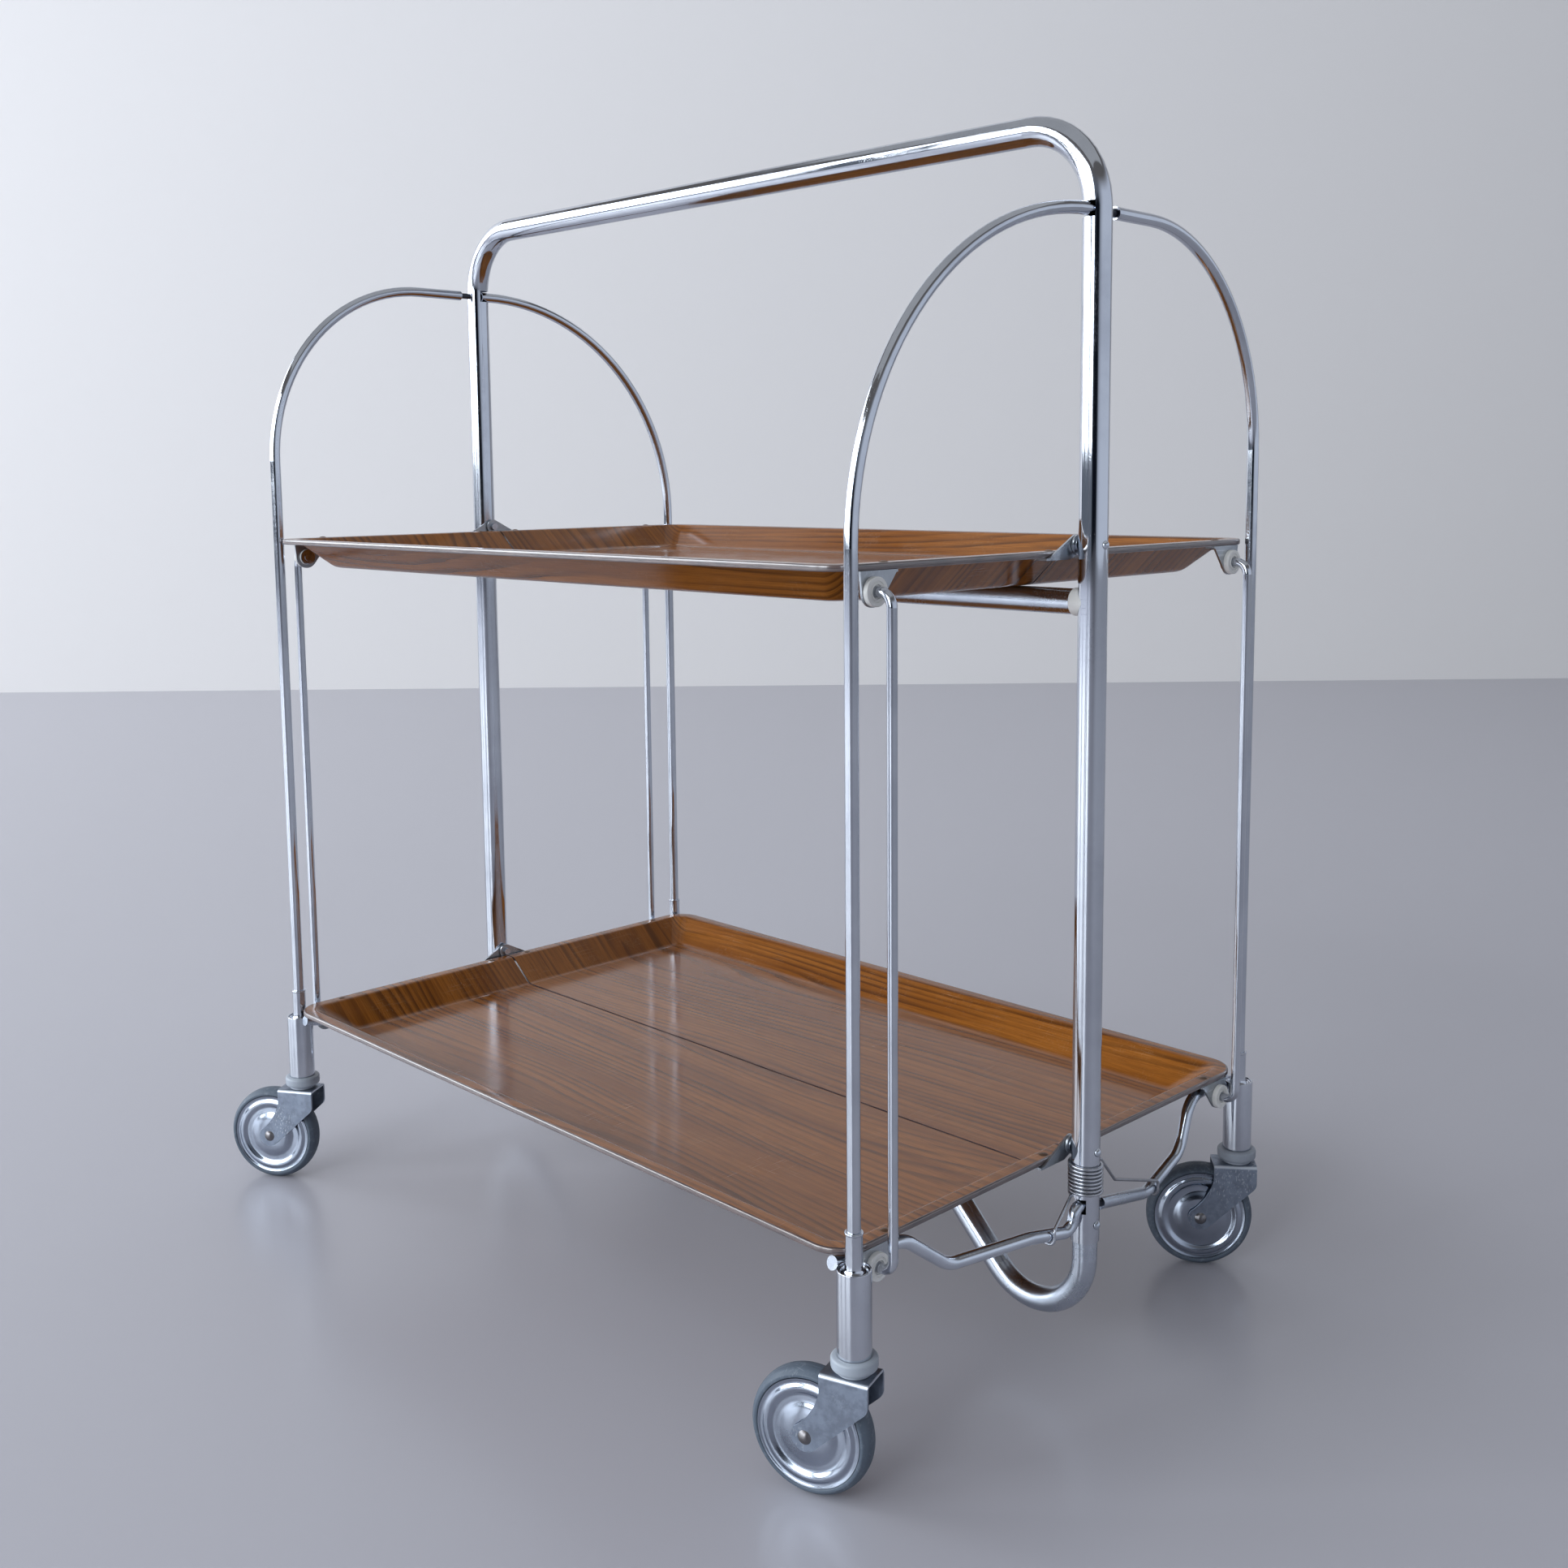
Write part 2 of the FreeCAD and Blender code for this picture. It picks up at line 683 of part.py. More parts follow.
def coped(shape):
    """The shape with its ends hollowed to sit on the uprights."""
    uprights = [rod_between(Vector(sign * upright_x, 0, upright_bottom),
                            Vector(sign * upright_x, 0, upper_slot), tube + 2 * hole_play)
                for sign in (1, -1)]
    return shape.cut(uprights)


def cross_bar():
    """The tube between the uprights that the upper tray rests on."""
    height = cross_tube_height()
    return coped(ring_between(Vector(-upright_x, 0, height), Vector(upright_x, 0, height),
                              cross_tube, cross_tube - 2 * cross_wall)).Solids[0]


def cross_collars():
    """The two collars on the cross tube's ends, against the uprights."""
    height = cross_tube_height()
    face = upright_x - tube / 2
    right = coped(ring_between(Vector(face - cross_collar_length, 0, height), Vector(upright_x, 0, height),
                               cross_collar, cross_tube + 2 * hole_play))
    right = max(right.Solids, key=lambda solid: solid.Volume)
    return Part.makeCompound([right, half_turned(right)])


def hinge_bolts():
    """Four bolts through the uprights and the hinge ears, each with its nut inside."""
    pieces = []
    nut_outer = inner_ear - hole_play
    nut_inner = nut_outer - bolt_nut_length
    head_x = upright_x + tube / 2
    for height in hinge_axes():
        tip = Vector(nut_inner, 0, height)
        under_head = Vector(head_x, 0, height)
        bolt = rod_between(tip, under_head, hinge_bolt)
        bolt = bolt.fuse(dome(under_head, X_AXIS, bolt_head, bolt_head_height)).removeSplitter()
        nut = ring_between(tip, Vector(nut_outer, 0, height), bolt_nut, hinge_bolt)
        pieces += [bolt, nut]
    return Part.makeCompound(pieces + [half_turned(piece) for piece in pieces])


def hinge_washers():
    """Four washers between the hinge ears and the uprights."""
    outer_face = washer_face + washer_thickness
    washers = [ring_between(Vector(washer_face, 0, height), Vector(outer_face, 0, height),
                            washer, hinge_bolt + 2 * hinge_play) for height in hinge_axes()]
    return Part.makeCompound(washers + [half_turned(ring) for ring in washers])


def frame_screws():
    """The screw that holds the base tube in each upright."""
    under_head = Vector(upright_x + tube / 2, 0, upright_bottom + frame_screw_height)
    tip = under_head - X_AXIS * (tube_wall + base_wall + frame_screw)
    screw = rod_between(tip, under_head, frame_screw)
    screw = screw.fuse(dome(under_head, X_AXIS, frame_screw_head, bolt_head_height)).removeSplitter()
    return Part.makeCompound([screw, half_turned(screw)])


def rail_hook(side, reach, height):
    """Points of a hook that comes over a rail from the inside, down its outer side and under it."""
    beside = rail / 2 + spring_wire / 2 + spring_gap
    rail_at_hook = rail_point(side, reach, lower_slot - height)
    return [rail_at_hook + Vector(beside, 0, beside), rail_at_hook + Vector(beside, 0, -beside),
            rail_at_hook + Vector(-rail / 2, 0, -beside)]


def height_on_run(reach, start, end):
    """Height of a rail's straight run from start to end, both (reach, drop), at a reach between them."""
    part = (reach - start[0]) / (end[0] - start[0])
    return lower_slot - start[1] - part * (end[1] - start[1])


def torsion_spring():
    """The spring round the right upright: a close coil with one arm hooked over each rail."""
    radius = tube / 2 + spring_gap + spring_wire / 2
    bottom = lower_slot + rail / 2 + slot_play + spring_wire
    helix = Part.makeHelix(spring_pitch, spring_turns * spring_pitch, radius).mirror(ORIGIN, Y_AXIS)
    helix.rotate(ORIGIN, Z_AXIS, spring_start)
    helix.translate(Vector(upright_x, 0, bottom))
    coil = helix.Edges[0]
    low_end, high_end = sorted((coil.valueAt(coil.FirstParameter), coil.valueAt(coil.LastParameter)),
                               key=lambda point: point.z)
    low_radial = (low_end - Vector(upright_x, 0, low_end.z)).normalize()
    high_radial = (high_end - Vector(upright_x, 0, high_end.z)).normalize()
    near_arm = [low_end, low_end + Z_AXIS.cross(low_radial) * near_arm_straight]
    near_arm += rail_hook(-1, near_hook,
                          height_on_run(near_hook, (slotted_rail_foot, slotted_rail_drop),
                                        (slotted_rail_mid, slotted_rail_mid_drop)))
    far_arm = [high_end, high_end - Z_AXIS.cross(high_radial) * far_arm_straight,
               rail_point(1, far_arm_turn, -far_arm_turn_lift),
               rail_point(1, far_arm_foot, -far_arm_foot_lift)]
    far_arm += rail_hook(1, far_hook,
                         height_on_run(far_hook, (pinned_rail_low, pinned_rail_low_drop),
                                       (leg_y - pinned_rail_kick, pinned_rail_kick_drop)))
    tip = near_arm[-1]
    path = Part.Wire(bent_edges(near_arm[::-1], [spring_hook_bend] * 2 + [spring_arm_bend]) + [coil]
                     + bent_edges(far_arm, [spring_arm_bend] * 3 + [spring_hook_bend] * 2))
    section = Part.makeCircle(spring_wire / 2, tip, near_arm[-2] - tip)
    return path.makePipe(Part.Face(Part.Wire(section)))


def caster_housing():
    """Housing tube, plug and leg sleeve on the Z axis at the foot of a leg."""
    bore = housing - 2 * housing_wall
    shell = ring_between(Vector(0, 0, housing_bottom), Vector(0, 0, housing_top), housing, bore)
    plug_top = housing_top - plug_recess
    leg_bore = leg / 2 + hole_play
    plug_radius = bore / 2 - plug_play
    dish = plug_top - plug_dish
    plug = revolved([(leg_bore, plug_top - plug_length), (plug_radius, plug_top - plug_length),
                     (plug_radius, plug_top), (plug_radius - plug_lip, plug_top),
                     (sleeve_flare / 2, dish), (leg_bore, dish)])
    neck = revolved([(leg_bore, dish), (sleeve_flare / 2, dish), (sleeve / 2, dish + sleeve_flare_height),
                     (sleeve / 2, housing_top + sleeve_rise), (leg_bore, housing_top + sleeve_rise)])
    return Part.makeCompound([shell, plug, neck])


def housing_collar():
    """The plastic collar under a housing, with the spigot that carries the caster's stem."""
    bore = stem / 2 + stem_play
    spigot = housing / 2 - housing_wall - hole_play
    collar_underside = collar_bottom + collar_boss_height
    return revolved([(bore, collar_bottom), (collar_boss / 2, collar_bottom),
                     (collar_boss / 2, collar_underside),
                     (collar / 2 - collar_rounding, collar_underside),
                     (collar / 2, collar_underside + collar_rounding),
                     (collar / 2, housing_bottom - collar_rounding),
                     (collar / 2 - collar_rounding, housing_bottom), (spigot, housing_bottom),
                     (spigot, housing_bottom + collar_spigot), (bore, housing_bottom + collar_spigot)])


def fork_side_view():
    """A fork seen from the side, as a thick plate: straight edges at the top, scalloped in to the axle."""
    centre = Vector(0, wheel_trail, axle_height)
    back = Vector(0, -fork_back, fork_top - fork_back_straight)
    front = Vector(0, fork_front, fork_top - fork_front_straight)
    back_touch = tangent_point(centre, fork_axle_eye, back, 1)
    front_touch = tangent_point(centre, fork_axle_eye, front, -1)
    eye_end = centre + (centre - (back + front) * 0.5).normalize() * fork_axle_eye
    edge = front_touch - front
    inward = Vector(0, edge.z, -edge.y).normalize()
    scallop = (front + front_touch) * 0.5 + inward * fork_scallop
    top_front = Vector(0, fork_front, fork_top)
    top_back = Vector(0, -fork_back, fork_top)
    outline = Part.Wire(bent_edges([top_back, back, back_touch], [fork_back_rounding]) + [
        Part.Arc(back_touch, eye_end, front_touch).toShape(),
        Part.Arc(front_touch, scallop, front).toShape(),
        Part.LineSegment(front, top_front).toShape(),
        Part.LineSegment(top_front, top_back).toShape(),
    ])
    outline.translate(X_AXIS * -fork_width)
    plate = Part.Face(outline).extrude(X_AXIS * 2 * fork_width)
    hole = rod_between(centre - X_AXIS * fork_width, centre + X_AXIS * fork_width, axle + 2 * hole_play)
    return plate.cut(hole)


def round_topped_bar(width, top, rounding):
    """A long block along X whose two top edges are rounded."""
    low = axle_height - 2 * fork_axle_eye
    length = 4 * fork_width
    block = Part.makeBox(length, width, top - low, Vector(-length / 2, -width / 2, low))
    long_edges = [edge for edge in edges_at(block, top) if edge.BoundBox.XLength > width]
    return block.makeFillet(rounding, long_edges)


def caster_fork():
    """A pressed fork that trails along +X, and the stem riveted into its top."""
    channel = round_topped_bar(fork_width, fork_top, fork_bend)
    hollow = round_topped_bar(fork_width - 2 * fork_plate, fork_top - fork_plate, fork_bend - fork_plate)
    side_view = fork_side_view()
    side_view.rotate(ORIGIN, Z_AXIS, -90)
    fork = channel.cut(hollow).common(side_view)
    fork = fork.cut(Part.makeCylinder(stem / 2, fork_top))
    stem_end = housing_bottom + collar_spigot + stem_top_gap
    pin = rod_between(Vector(0, 0, fork_top - fork_plate), Vector(0, 0, stem_end), stem)
    return Part.makeCompound([fork.Solids[0], pin])


def caster_axle():
    """The riveted axle, with a domed head on each side of the fork."""
    centre = Vector(wheel_trail, 0, axle_height)
    half = fork_width / 2
    shank = rod_between(centre - Y_AXIS * half, centre + Y_AXIS * half, axle)
    heads = [dome(centre + direction * half, direction, axle_head, axle_head_height)
             for direction in (Y_AXIS, -Y_AXIS)]
    return shank.fuse(heads).removeSplitter()


def stood_on_axle(shape):
    """Turns a shape made round Z so that it stands on the caster's axle."""
    shape.rotate(ORIGIN, X_AXIS, 90)
    shape.translate(Vector(wheel_trail, 0, axle_height))
    return shape


def wheel_disc():
    """The hub tube and the two ridged pressed discs that clamp the tyre."""
    half_hub = fork_width / 2 - fork_plate - hub_gap
    hub_tube = ring_between(Vector(0, 0, -half_hub), Vector(0, 0, half_hub), hub, axle + 2 * axle_play)
    face = [(hub / 2 + hole_play, disc_crown_height), (disc_crown / 2, disc_crown_height),
            (disc_shoulder / 2, disc_shoulder_height), (disc_groove_inner / 2, disc_groove_height),
            (disc_groove_outer / 2, disc_groove_height), (disc_ridge_inner / 2, disc_ridge_height),
            (disc_ridge_outer / 2, disc_ridge_height), (disc_seat / 2, disc_seat_height),
            (disc / 2, disc_rim_height)]
    back = [(radius, height - disc_sheet) for radius, height in reversed(face)]
    pressed = revolved(face + back)
    return stood_on_axle(Part.makeCompound([hub_tube, pressed, pressed.mirror(ORIGIN, Z_AXIS)]))


def wheel_tyre():
    """The rubber tyre: a rounded tread and a bead between the discs."""
    crown = wheel / 2
    half = tyre_width / 2
    inner = disc / 2 + tyre_seat_gap
    bead = disc_seat_height - disc_sheet - tyre_seat_gap
    bottom = inner - tyre_bead_depth
    shoulder = crown - tyre_shoulder
    round_in = tyre_shoulder * math.sqrt(0.5)

    def at(radius, height):
        return Vector(radius, 0, height)

    profile = Part.Wire([
        Part.makePolygon([at(shoulder, -half), at(inner, -half), at(inner, -bead), at(bottom, -bead),
                          at(bottom, bead), at(inner, bead), at(inner, half), at(shoulder, half)]),
        Part.Arc(at(shoulder, half), at(shoulder + round_in, half - tyre_shoulder + round_in),
                 at(crown, half - tyre_shoulder)).toShape(),
        Part.LineSegment(at(crown, half - tyre_shoulder), at(crown, tyre_shoulder - half)).toShape(),
        Part.Arc(at(crown, tyre_shoulder - half), at(shoulder + round_in, tyre_shoulder - half - round_in),
                 at(shoulder, -half)).toShape(),
    ])
    return stood_on_axle(Part.Face(profile).revolve(ORIGIN, Z_AXIS, 360))


def at_foot(shape, corner, bearing=0.0):
    """A copy moved from the Z axis to a leg, turned to a bearing."""
    side_x = 1 if corner.endswith("right") else -1
    side_y = 1 if corner.startswith("far") else -1
    placed = shape.copy()
    placed.rotate(ORIGIN, Z_AXIS, bearing)
    placed.translate(Vector(side_x * leg_x, side_y * leg_y, 0))
    return placed


def all_nodes():
    """Every piece or group of like pieces, by name."""
    spring = torsion_spring()
    stubs = gate_stubs()
    nodes = {
        "hoop": hoop(),
        "base_loop": base_loop(),
        "cross_tube": cross_bar(),
        "cross_tube_collars": cross_collars(),
        "hinge_bolts": hinge_bolts(),
        "hinge_washers": hinge_washers(),
        "frame_screws": frame_screws(),
        "gate_stub_pins": Part.makeCompound(stubs + [half_turned(pin) for pin in stubs]),
        "torsion_spring_right": spring,
        "torsion_spring_left": half_turned(spring),
    }
    for piece, slotted, pinned in (("leg", slotted_leg(), pinned_leg()),
                                   ("rail", slotted_rail(), pinned_rail())):
        nodes[f"{piece}_near_right"] = slotted
        nodes[f"{piece}_far_left"] = half_turned(slotted)
        nodes[f"{piece}_far_right"] = pinned
        nodes[f"{piece}_near_left"] = half_turned(pinned)

    for level, rim_z in (("upper", upper_rim), ("lower", lower_rim)):
        for piece, near in (("tray", near_board(rim_z)), ("brackets", near_brackets(rim_z)),
                            ("rivets", near_rivets(rim_z)), ("bushes", near_bushes(rim_z))):
            nodes[f"{level}_near_{piece}"] = near
            nodes[f"{level}_far_{piece}"] = half_turned(near)

    near_right = near_right_rod()
    near_left = near_right.mirror(ORIGIN, X_AXIS)
    nodes["rod_near_right"] = near_right
    nodes["rod_near_left"] = near_left
    nodes["rod_far_left"] = half_turned(near_right)
    nodes["rod_far_right"] = half_turned(near_left)

    housing_parts = caster_housing()
    collar_part = housing_collar()
    collars = []
    for corner, trail in trail_angles.items():
        nodes[f"housing_{corner}"] = at_foot(housing_parts, corner)
        collars.append(at_foot(collar_part, corner))
        for piece, shape in (("fork", caster_fork()), ("axle", caster_axle()),
                             ("disc", wheel_disc()), ("tyre", wheel_tyre())):
            nodes[f"{piece}_{corner}"] = at_foot(shape, corner, trail)
    nodes["housing_collars"] = Part.makeCompound(collars)
    return nodes


os.makedirs("parts", exist_ok=True)
for name, shape in all_nodes().items():
    shape.exportStep(f"parts/{name}.step")
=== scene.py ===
import math

import bpy
import numpy as np
from mathutils import Matrix, Vector


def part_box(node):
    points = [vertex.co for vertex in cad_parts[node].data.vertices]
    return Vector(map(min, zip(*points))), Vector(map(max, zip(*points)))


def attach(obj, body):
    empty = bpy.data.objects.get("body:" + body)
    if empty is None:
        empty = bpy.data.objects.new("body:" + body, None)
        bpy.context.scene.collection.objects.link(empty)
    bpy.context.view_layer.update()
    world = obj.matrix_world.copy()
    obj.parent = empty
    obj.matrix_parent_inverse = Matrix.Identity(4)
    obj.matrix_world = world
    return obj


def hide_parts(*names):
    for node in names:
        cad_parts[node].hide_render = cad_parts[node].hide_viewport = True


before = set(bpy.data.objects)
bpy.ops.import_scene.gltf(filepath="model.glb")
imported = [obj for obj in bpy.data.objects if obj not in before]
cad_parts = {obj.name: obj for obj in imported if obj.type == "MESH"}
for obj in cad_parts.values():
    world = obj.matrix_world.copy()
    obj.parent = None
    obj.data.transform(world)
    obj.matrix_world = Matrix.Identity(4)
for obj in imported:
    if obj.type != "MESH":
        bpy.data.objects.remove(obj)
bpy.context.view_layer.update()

# A folding tea trolley of chromed tube with two laminate trays on four casters, unfolded. The floor is
# z = 0, X runs along the handle and -Y is the near side. Sizes are in metres.


# ---------------------------------------------------------------------------------------------------
# Hoop: the handle and both uprights, one steel tube bent twice, polished and chromed. Years of hands and
# cloths leave a faint haze, hairline scratches and a few tiny pits where the plating has gone.

def add(tree, kind, inputs=None, **settings):
    """Adds a shader node. Its inputs are given by name or number, as values or as other nodes' outputs."""
    node = tree.nodes.new("ShaderNode" + kind)
    for key, value in settings.items():
        setattr(node, key, value)
    for key, value in (inputs or {}).items():
        if isinstance(value, bpy.types.NodeSocket):
            tree.links.new(value, node.inputs[key])
        else:
            node.inputs[key].default_value = value
    return node


def rgb(red, green, blue):
    """A colour written as 0 to 255 screen values, turned to linear light."""
    screen = np.array([red, green, blue]) / 255.0
    light = np.where(screen <= 0.04045, screen / 12.92, ((screen + 0.055) / 1.055) ** 2.4)
    return (*light.tolist(), 1.0)


def new_finish(name, **sockets):
    """An empty finish: a Principled shader with its plain sockets set, and the tree to add detail to."""
    finish = bpy.data.materials.new(name)
    finish.use_nodes = True
    tree = finish.node_tree
    shader = tree.nodes["Principled BSDF"]
    for key, value in sockets.items():
        shader.inputs[key.replace("_", " ")].default_value = value
    return finish, tree, shader


def new_effect(name, inputs, outputs):
    """An empty node group. Inputs are named with their first values, outputs with their kinds."""
    tree = bpy.data.node_groups.new(name, "ShaderNodeTree")
    for key, value in inputs.items():
        socket = tree.interface.new_socket(key, in_out="INPUT", socket_type="NodeSocketFloat")
        socket.default_value = value
    for key, kind in outputs.items():
        tree.interface.new_socket(key, in_out="OUTPUT", socket_type="NodeSocket" + kind)
    return tree, tree.nodes.new("NodeGroupInput"), tree.nodes.new("NodeGroupOutput")


def effect(tree, group, **values):
    """Places a node group in a finish with its own values."""
    node = tree.nodes.new("ShaderNodeGroup")
    node.node_tree = group
    for key, value in values.items():
        node.inputs[key.replace("_", " ")].default_value = value
    return node


def stepped(tree, value, low, high, out_low=0.0, out_high=1.0):
    """A value spread from low..high to out_low..out_high with soft ends."""
    node = add(tree, "MapRange", {"Value": value, "From Min": low, "From Max": high,
                                  "To Min": out_low, "To Max": out_high}, interpolation_type="SMOOTHSTEP")
    return node.outputs["Result"]


def times(tree, first, second, operation="MULTIPLY"):
    """Two values multiplied, or put together by the operation named."""
    return add(tree, "Math", {0: first, 1: second}, operation=operation).outputs[0]


def between(tree, share, first, second):
    """A mix of two colours."""
    node = add(tree, "Mix", {"Factor": share}, data_type="RGBA")
    for socket, colour in ((node.inputs[6], first), (node.inputs[7], second)):
        if isinstance(colour, bpy.types.NodeSocket):
            tree.links.new(colour, socket)
        else:
            socket.default_value = colour
    return node.outputs[2]


def hairline_scratches():
    """Straight hairline scratches: the peaks of a noise drawn out fifty times longer than wide, once each
    way, kept only in some patches."""
    tree, given, out = new_effect("hairline scratches", {"Scale": 2600.0, "Amount": 0.5},
                                  {"Mask": "Float"})
    place = add(tree, "TexCoord").outputs["Object"]
    lines = []
    ways = (((0.3, 0.5, 0.2), (1.0, 0.02, 0.3)), ((1.2, -0.4, 1.1), (0.02, 1.0, 0.3)))
    for turn, stretch in ways:
        turned_place = add(tree, "Mapping", {"Vector": place, "Rotation": turn, "Scale": stretch}).outputs[0]
        noise = add(tree, "TexNoise", {"Vector": turned_place, "Scale": given.outputs["Scale"],
                                       "Detail": 0.0}).outputs["Fac"]
        lines.append(stepped(tree, noise, 0.68, 0.76))
    patches = add(tree, "TexNoise", {"Vector": place, "Scale": 22.0, "Detail": 2.0}).outputs["Fac"]
    kept = times(tree, stepped(tree, patches, 0.46, 0.62), given.outputs["Amount"])
    tree.links.new(times(tree, times(tree, *lines, "MAXIMUM"), kept), out.inputs["Mask"])
    return tree


def handled_haze():
    """Cloudy wipe marks: a value of two noises, one the size of a palm and one the size of a fingertip."""
    tree, given, out = new_effect("handled haze", {"Clean": 0.05, "Hazy": 0.2},
                                  {"Roughness": "Float", "Cloud": "Float"})
    place = add(tree, "TexCoord").outputs["Object"]
    palm = add(tree, "TexNoise", {"Vector": place, "Scale": 11.0, "Detail": 3.0}).outputs["Fac"]
    tip = add(tree, "TexNoise", {"Vector": place, "Scale": 75.0, "Detail": 4.0,
                                 "Roughness": 0.6}).outputs["Fac"]
    cloud = stepped(tree, times(tree, palm, times(tree, tip, 0.35), "ADD"), 0.5, 0.95)
    tree.links.new(cloud, out.inputs["Cloud"])
    spread = add(tree, "MapRange", {"Value": cloud, "To Min": given.outputs["Clean"],
                                    "To Max": given.outputs["Hazy"]}).outputs["Result"]
    tree.links.new(spread, out.inputs["Roughness"])
    return tree


def small_pits():
    """Tiny round marks: the cores of scattered cells, kept only where a second noise allows them."""
    tree, given, out = new_effect("small pits", {"Scale": 260.0, "Size": 0.12}, {"Mask": "Float"})
    place = add(tree, "TexCoord").outputs["Object"]
    cells = add(tree, "TexVoronoi", {"Vector": place, "Scale": given.outputs["Scale"]}).outputs["Distance"]
    core = add(tree, "Math", {0: cells, 1: given.outputs["Size"]}, operation="LESS_THAN").outputs[0]
    some = add(tree, "TexNoise", {"Vector": place, "Scale": 40.0, "Detail": 2.0}).outputs["Fac"]
    tree.links.new(times(tree, core, stepped(tree, some, 0.60, 0.72)), out.inputs["Mask"])
    return tree


scratches_group = hairline_scratches()
haze_group = handled_haze()
pits_group = small_pits()


def bright_chrome():
    """Chrome plating: mirror bright, with a grey haze, hairline scratches and a few dull pits."""
    finish, tree, shader = new_finish("bright chrome", Metallic=1.0, Specular_Tint=(1.0, 1.0, 1.0, 1.0))
    haze = effect(tree, haze_group, Clean=0.045, Hazy=0.16)
    pits = effect(tree, pits_group, Scale=600.0, Size=0.09)
    scratches = effect(tree, scratches_group, Scale=2800.0, Amount=0.35)
    plated = between(tree, haze.outputs["Cloud"], rgb(206, 210, 218), rgb(188, 192, 201))
    pitted = between(tree, pits.outputs["Mask"], plated, rgb(150, 148, 148))
    tree.links.new(pitted, shader.inputs["Base Color"])
    rough = times(tree, haze.outputs["Roughness"], times(tree, scratches.outputs["Mask"], 0.22), "ADD")
    tree.links.new(times(tree, rough, times(tree, pits.outputs["Mask"], 0.5), "ADD"),
                   shader.inputs["Roughness"])
    marks = times(tree, scratches.outputs["Mask"], pits.outputs["Mask"], "ADD")
    bump = add(tree, "Bump", {"Strength": 0.12, "Distance": 0.0002, "Height": marks}, invert=True)
    tree.links.new(bump.outputs[0], shader.inputs["Normal"])
    return finish


def give(finish, *names):
    """Puts one finish on CAD nodes."""
    for name in names:
        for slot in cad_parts[name].material_slots:
            slot.material = finish


chrome = bright_chrome()
give(chrome, "hoop")


# ---------------------------------------------------------------------------------------------------
# Base loop: a second tube that slips into the uprights, dips at both ends and rises under the lower
# tray. It is zinc plated to a satin shine and pinned by one screw through each upright.

def plated_zinc():
    """Satin zinc: a soft metal with hairline scratches, a bluish bloom and dull spots."""
    finish, tree, shader = new_finish("satin zinc", Metallic=1.0)
    haze = effect(tree, haze_group, Clean=0.16, Hazy=0.3)
    scratches = effect(tree, scratches_group, Scale=2400.0, Amount=0.5)
    pits = effect(tree, pits_group, Scale=700.0, Size=0.10)
    bloom = between(tree, haze.outputs["Cloud"], rgb(214, 220, 230), rgb(178, 186, 198))
    tree.links.new(between(tree, pits.outputs["Mask"], bloom, rgb(146, 148, 152)),
                   shader.inputs["Base Color"])
    tree.links.new(times(tree, haze.outputs["Roughness"], times(tree, scratches.outputs["Mask"], 0.2), "ADD"),
                   shader.inputs["Roughness"])
    place = add(tree, "TexCoord").outputs["Object"]
    grain = add(tree, "TexNoise", {"Vector": place, "Scale": 900.0, "Detail": 3.0}).outputs["Fac"]
    bump = add(tree, "Bump", {"Strength": 0.15, "Distance": 0.0002,
                              "Height": times(tree, grain, scratches.outputs["Mask"], "SUBTRACT")})
    tree.links.new(bump.outputs[0], shader.inputs["Normal"])
    return finish


zinc = plated_zinc()
give(zinc, "base_loop")


# ---------------------------------------------------------------------------------------------------
# Cross tube and collars: a plain zinc-plated tube between the uprights that the upper tray rests on, with
# a thin white nylon ring pressed on each end. Each ring is cut hollow where it meets the round upright.

upright_x = 0.322
upright_radius = 0.009
cross_tube_radius = 0.0080
cross_collar_radius = 0.0087
cross_collar_reach = 0.0035
turned_steps = 96


def white_nylon():
    """Moulded nylon: slightly waxy white with a faint yellow ageing and grey handling dirt."""
    finish, tree, shader = new_finish("white nylon")
    haze = effect(tree, haze_group, Clean=0.32, Hazy=0.5)
    tree.links.new(between(tree, haze.outputs["Cloud"], rgb(247, 246, 242), rgb(232, 230, 224)),
                   shader.inputs["Base Color"])
    tree.links.new(haze.outputs["Roughness"], shader.inputs["Roughness"])
    place = add(tree, "TexCoord").outputs["Object"]
    skin = add(tree, "TexNoise", {"Vector": place, "Scale": 1400.0, "Detail": 2.0}).outputs["Fac"]
    bump = add(tree, "Bump", {"Strength": 0.1, "Distance": 0.0002, "Height": skin})
    tree.links.new(bump.outputs[0], shader.inputs["Normal"])
    return finish


def grid_faces(rows, columns, round_rows, round_columns):
    """Four-sided faces over a grid of points, closed on itself where asked, as one array of indices."""
    row = np.arange(rows if round_rows else rows - 1)[:, None]
    column = np.arange(columns if round_columns else columns - 1)[None, :]
    next_row, next_column = (row + 1) % rows, (column + 1) % columns
    return np.stack([row * columns + column, row * columns + next_column,
                     next_row * columns + next_column, next_row * columns + column], -1).reshape(-1, 4)


def new_piece(name, points, faces, finish, body, slot, crease=math.radians(35), finish_of_face=None):
    """A piece made of an array of points and one of faces, smooth but for creases sharper than given."""
    mesh = bpy.data.meshes.new(name)
    mesh.from_pydata(points.reshape(-1, 3).tolist(), [], [list(face) for face in faces])
    for one in (finish if isinstance(finish, tuple) else (finish,)):
        mesh.materials.append(one)
    if finish_of_face is not None:
        mesh.polygons.foreach_set("material_index", finish_of_face.astype(np.int32))
    mesh.polygons.foreach_set("use_smooth", np.ones(len(mesh.polygons), bool))
    mesh.set_sharp_from_angle(angle=crease)
    mesh.update()
    piece = bpy.data.objects.new(name, mesh)
    bpy.context.scene.collection.objects.link(piece)
    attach(piece, body)
    return piece


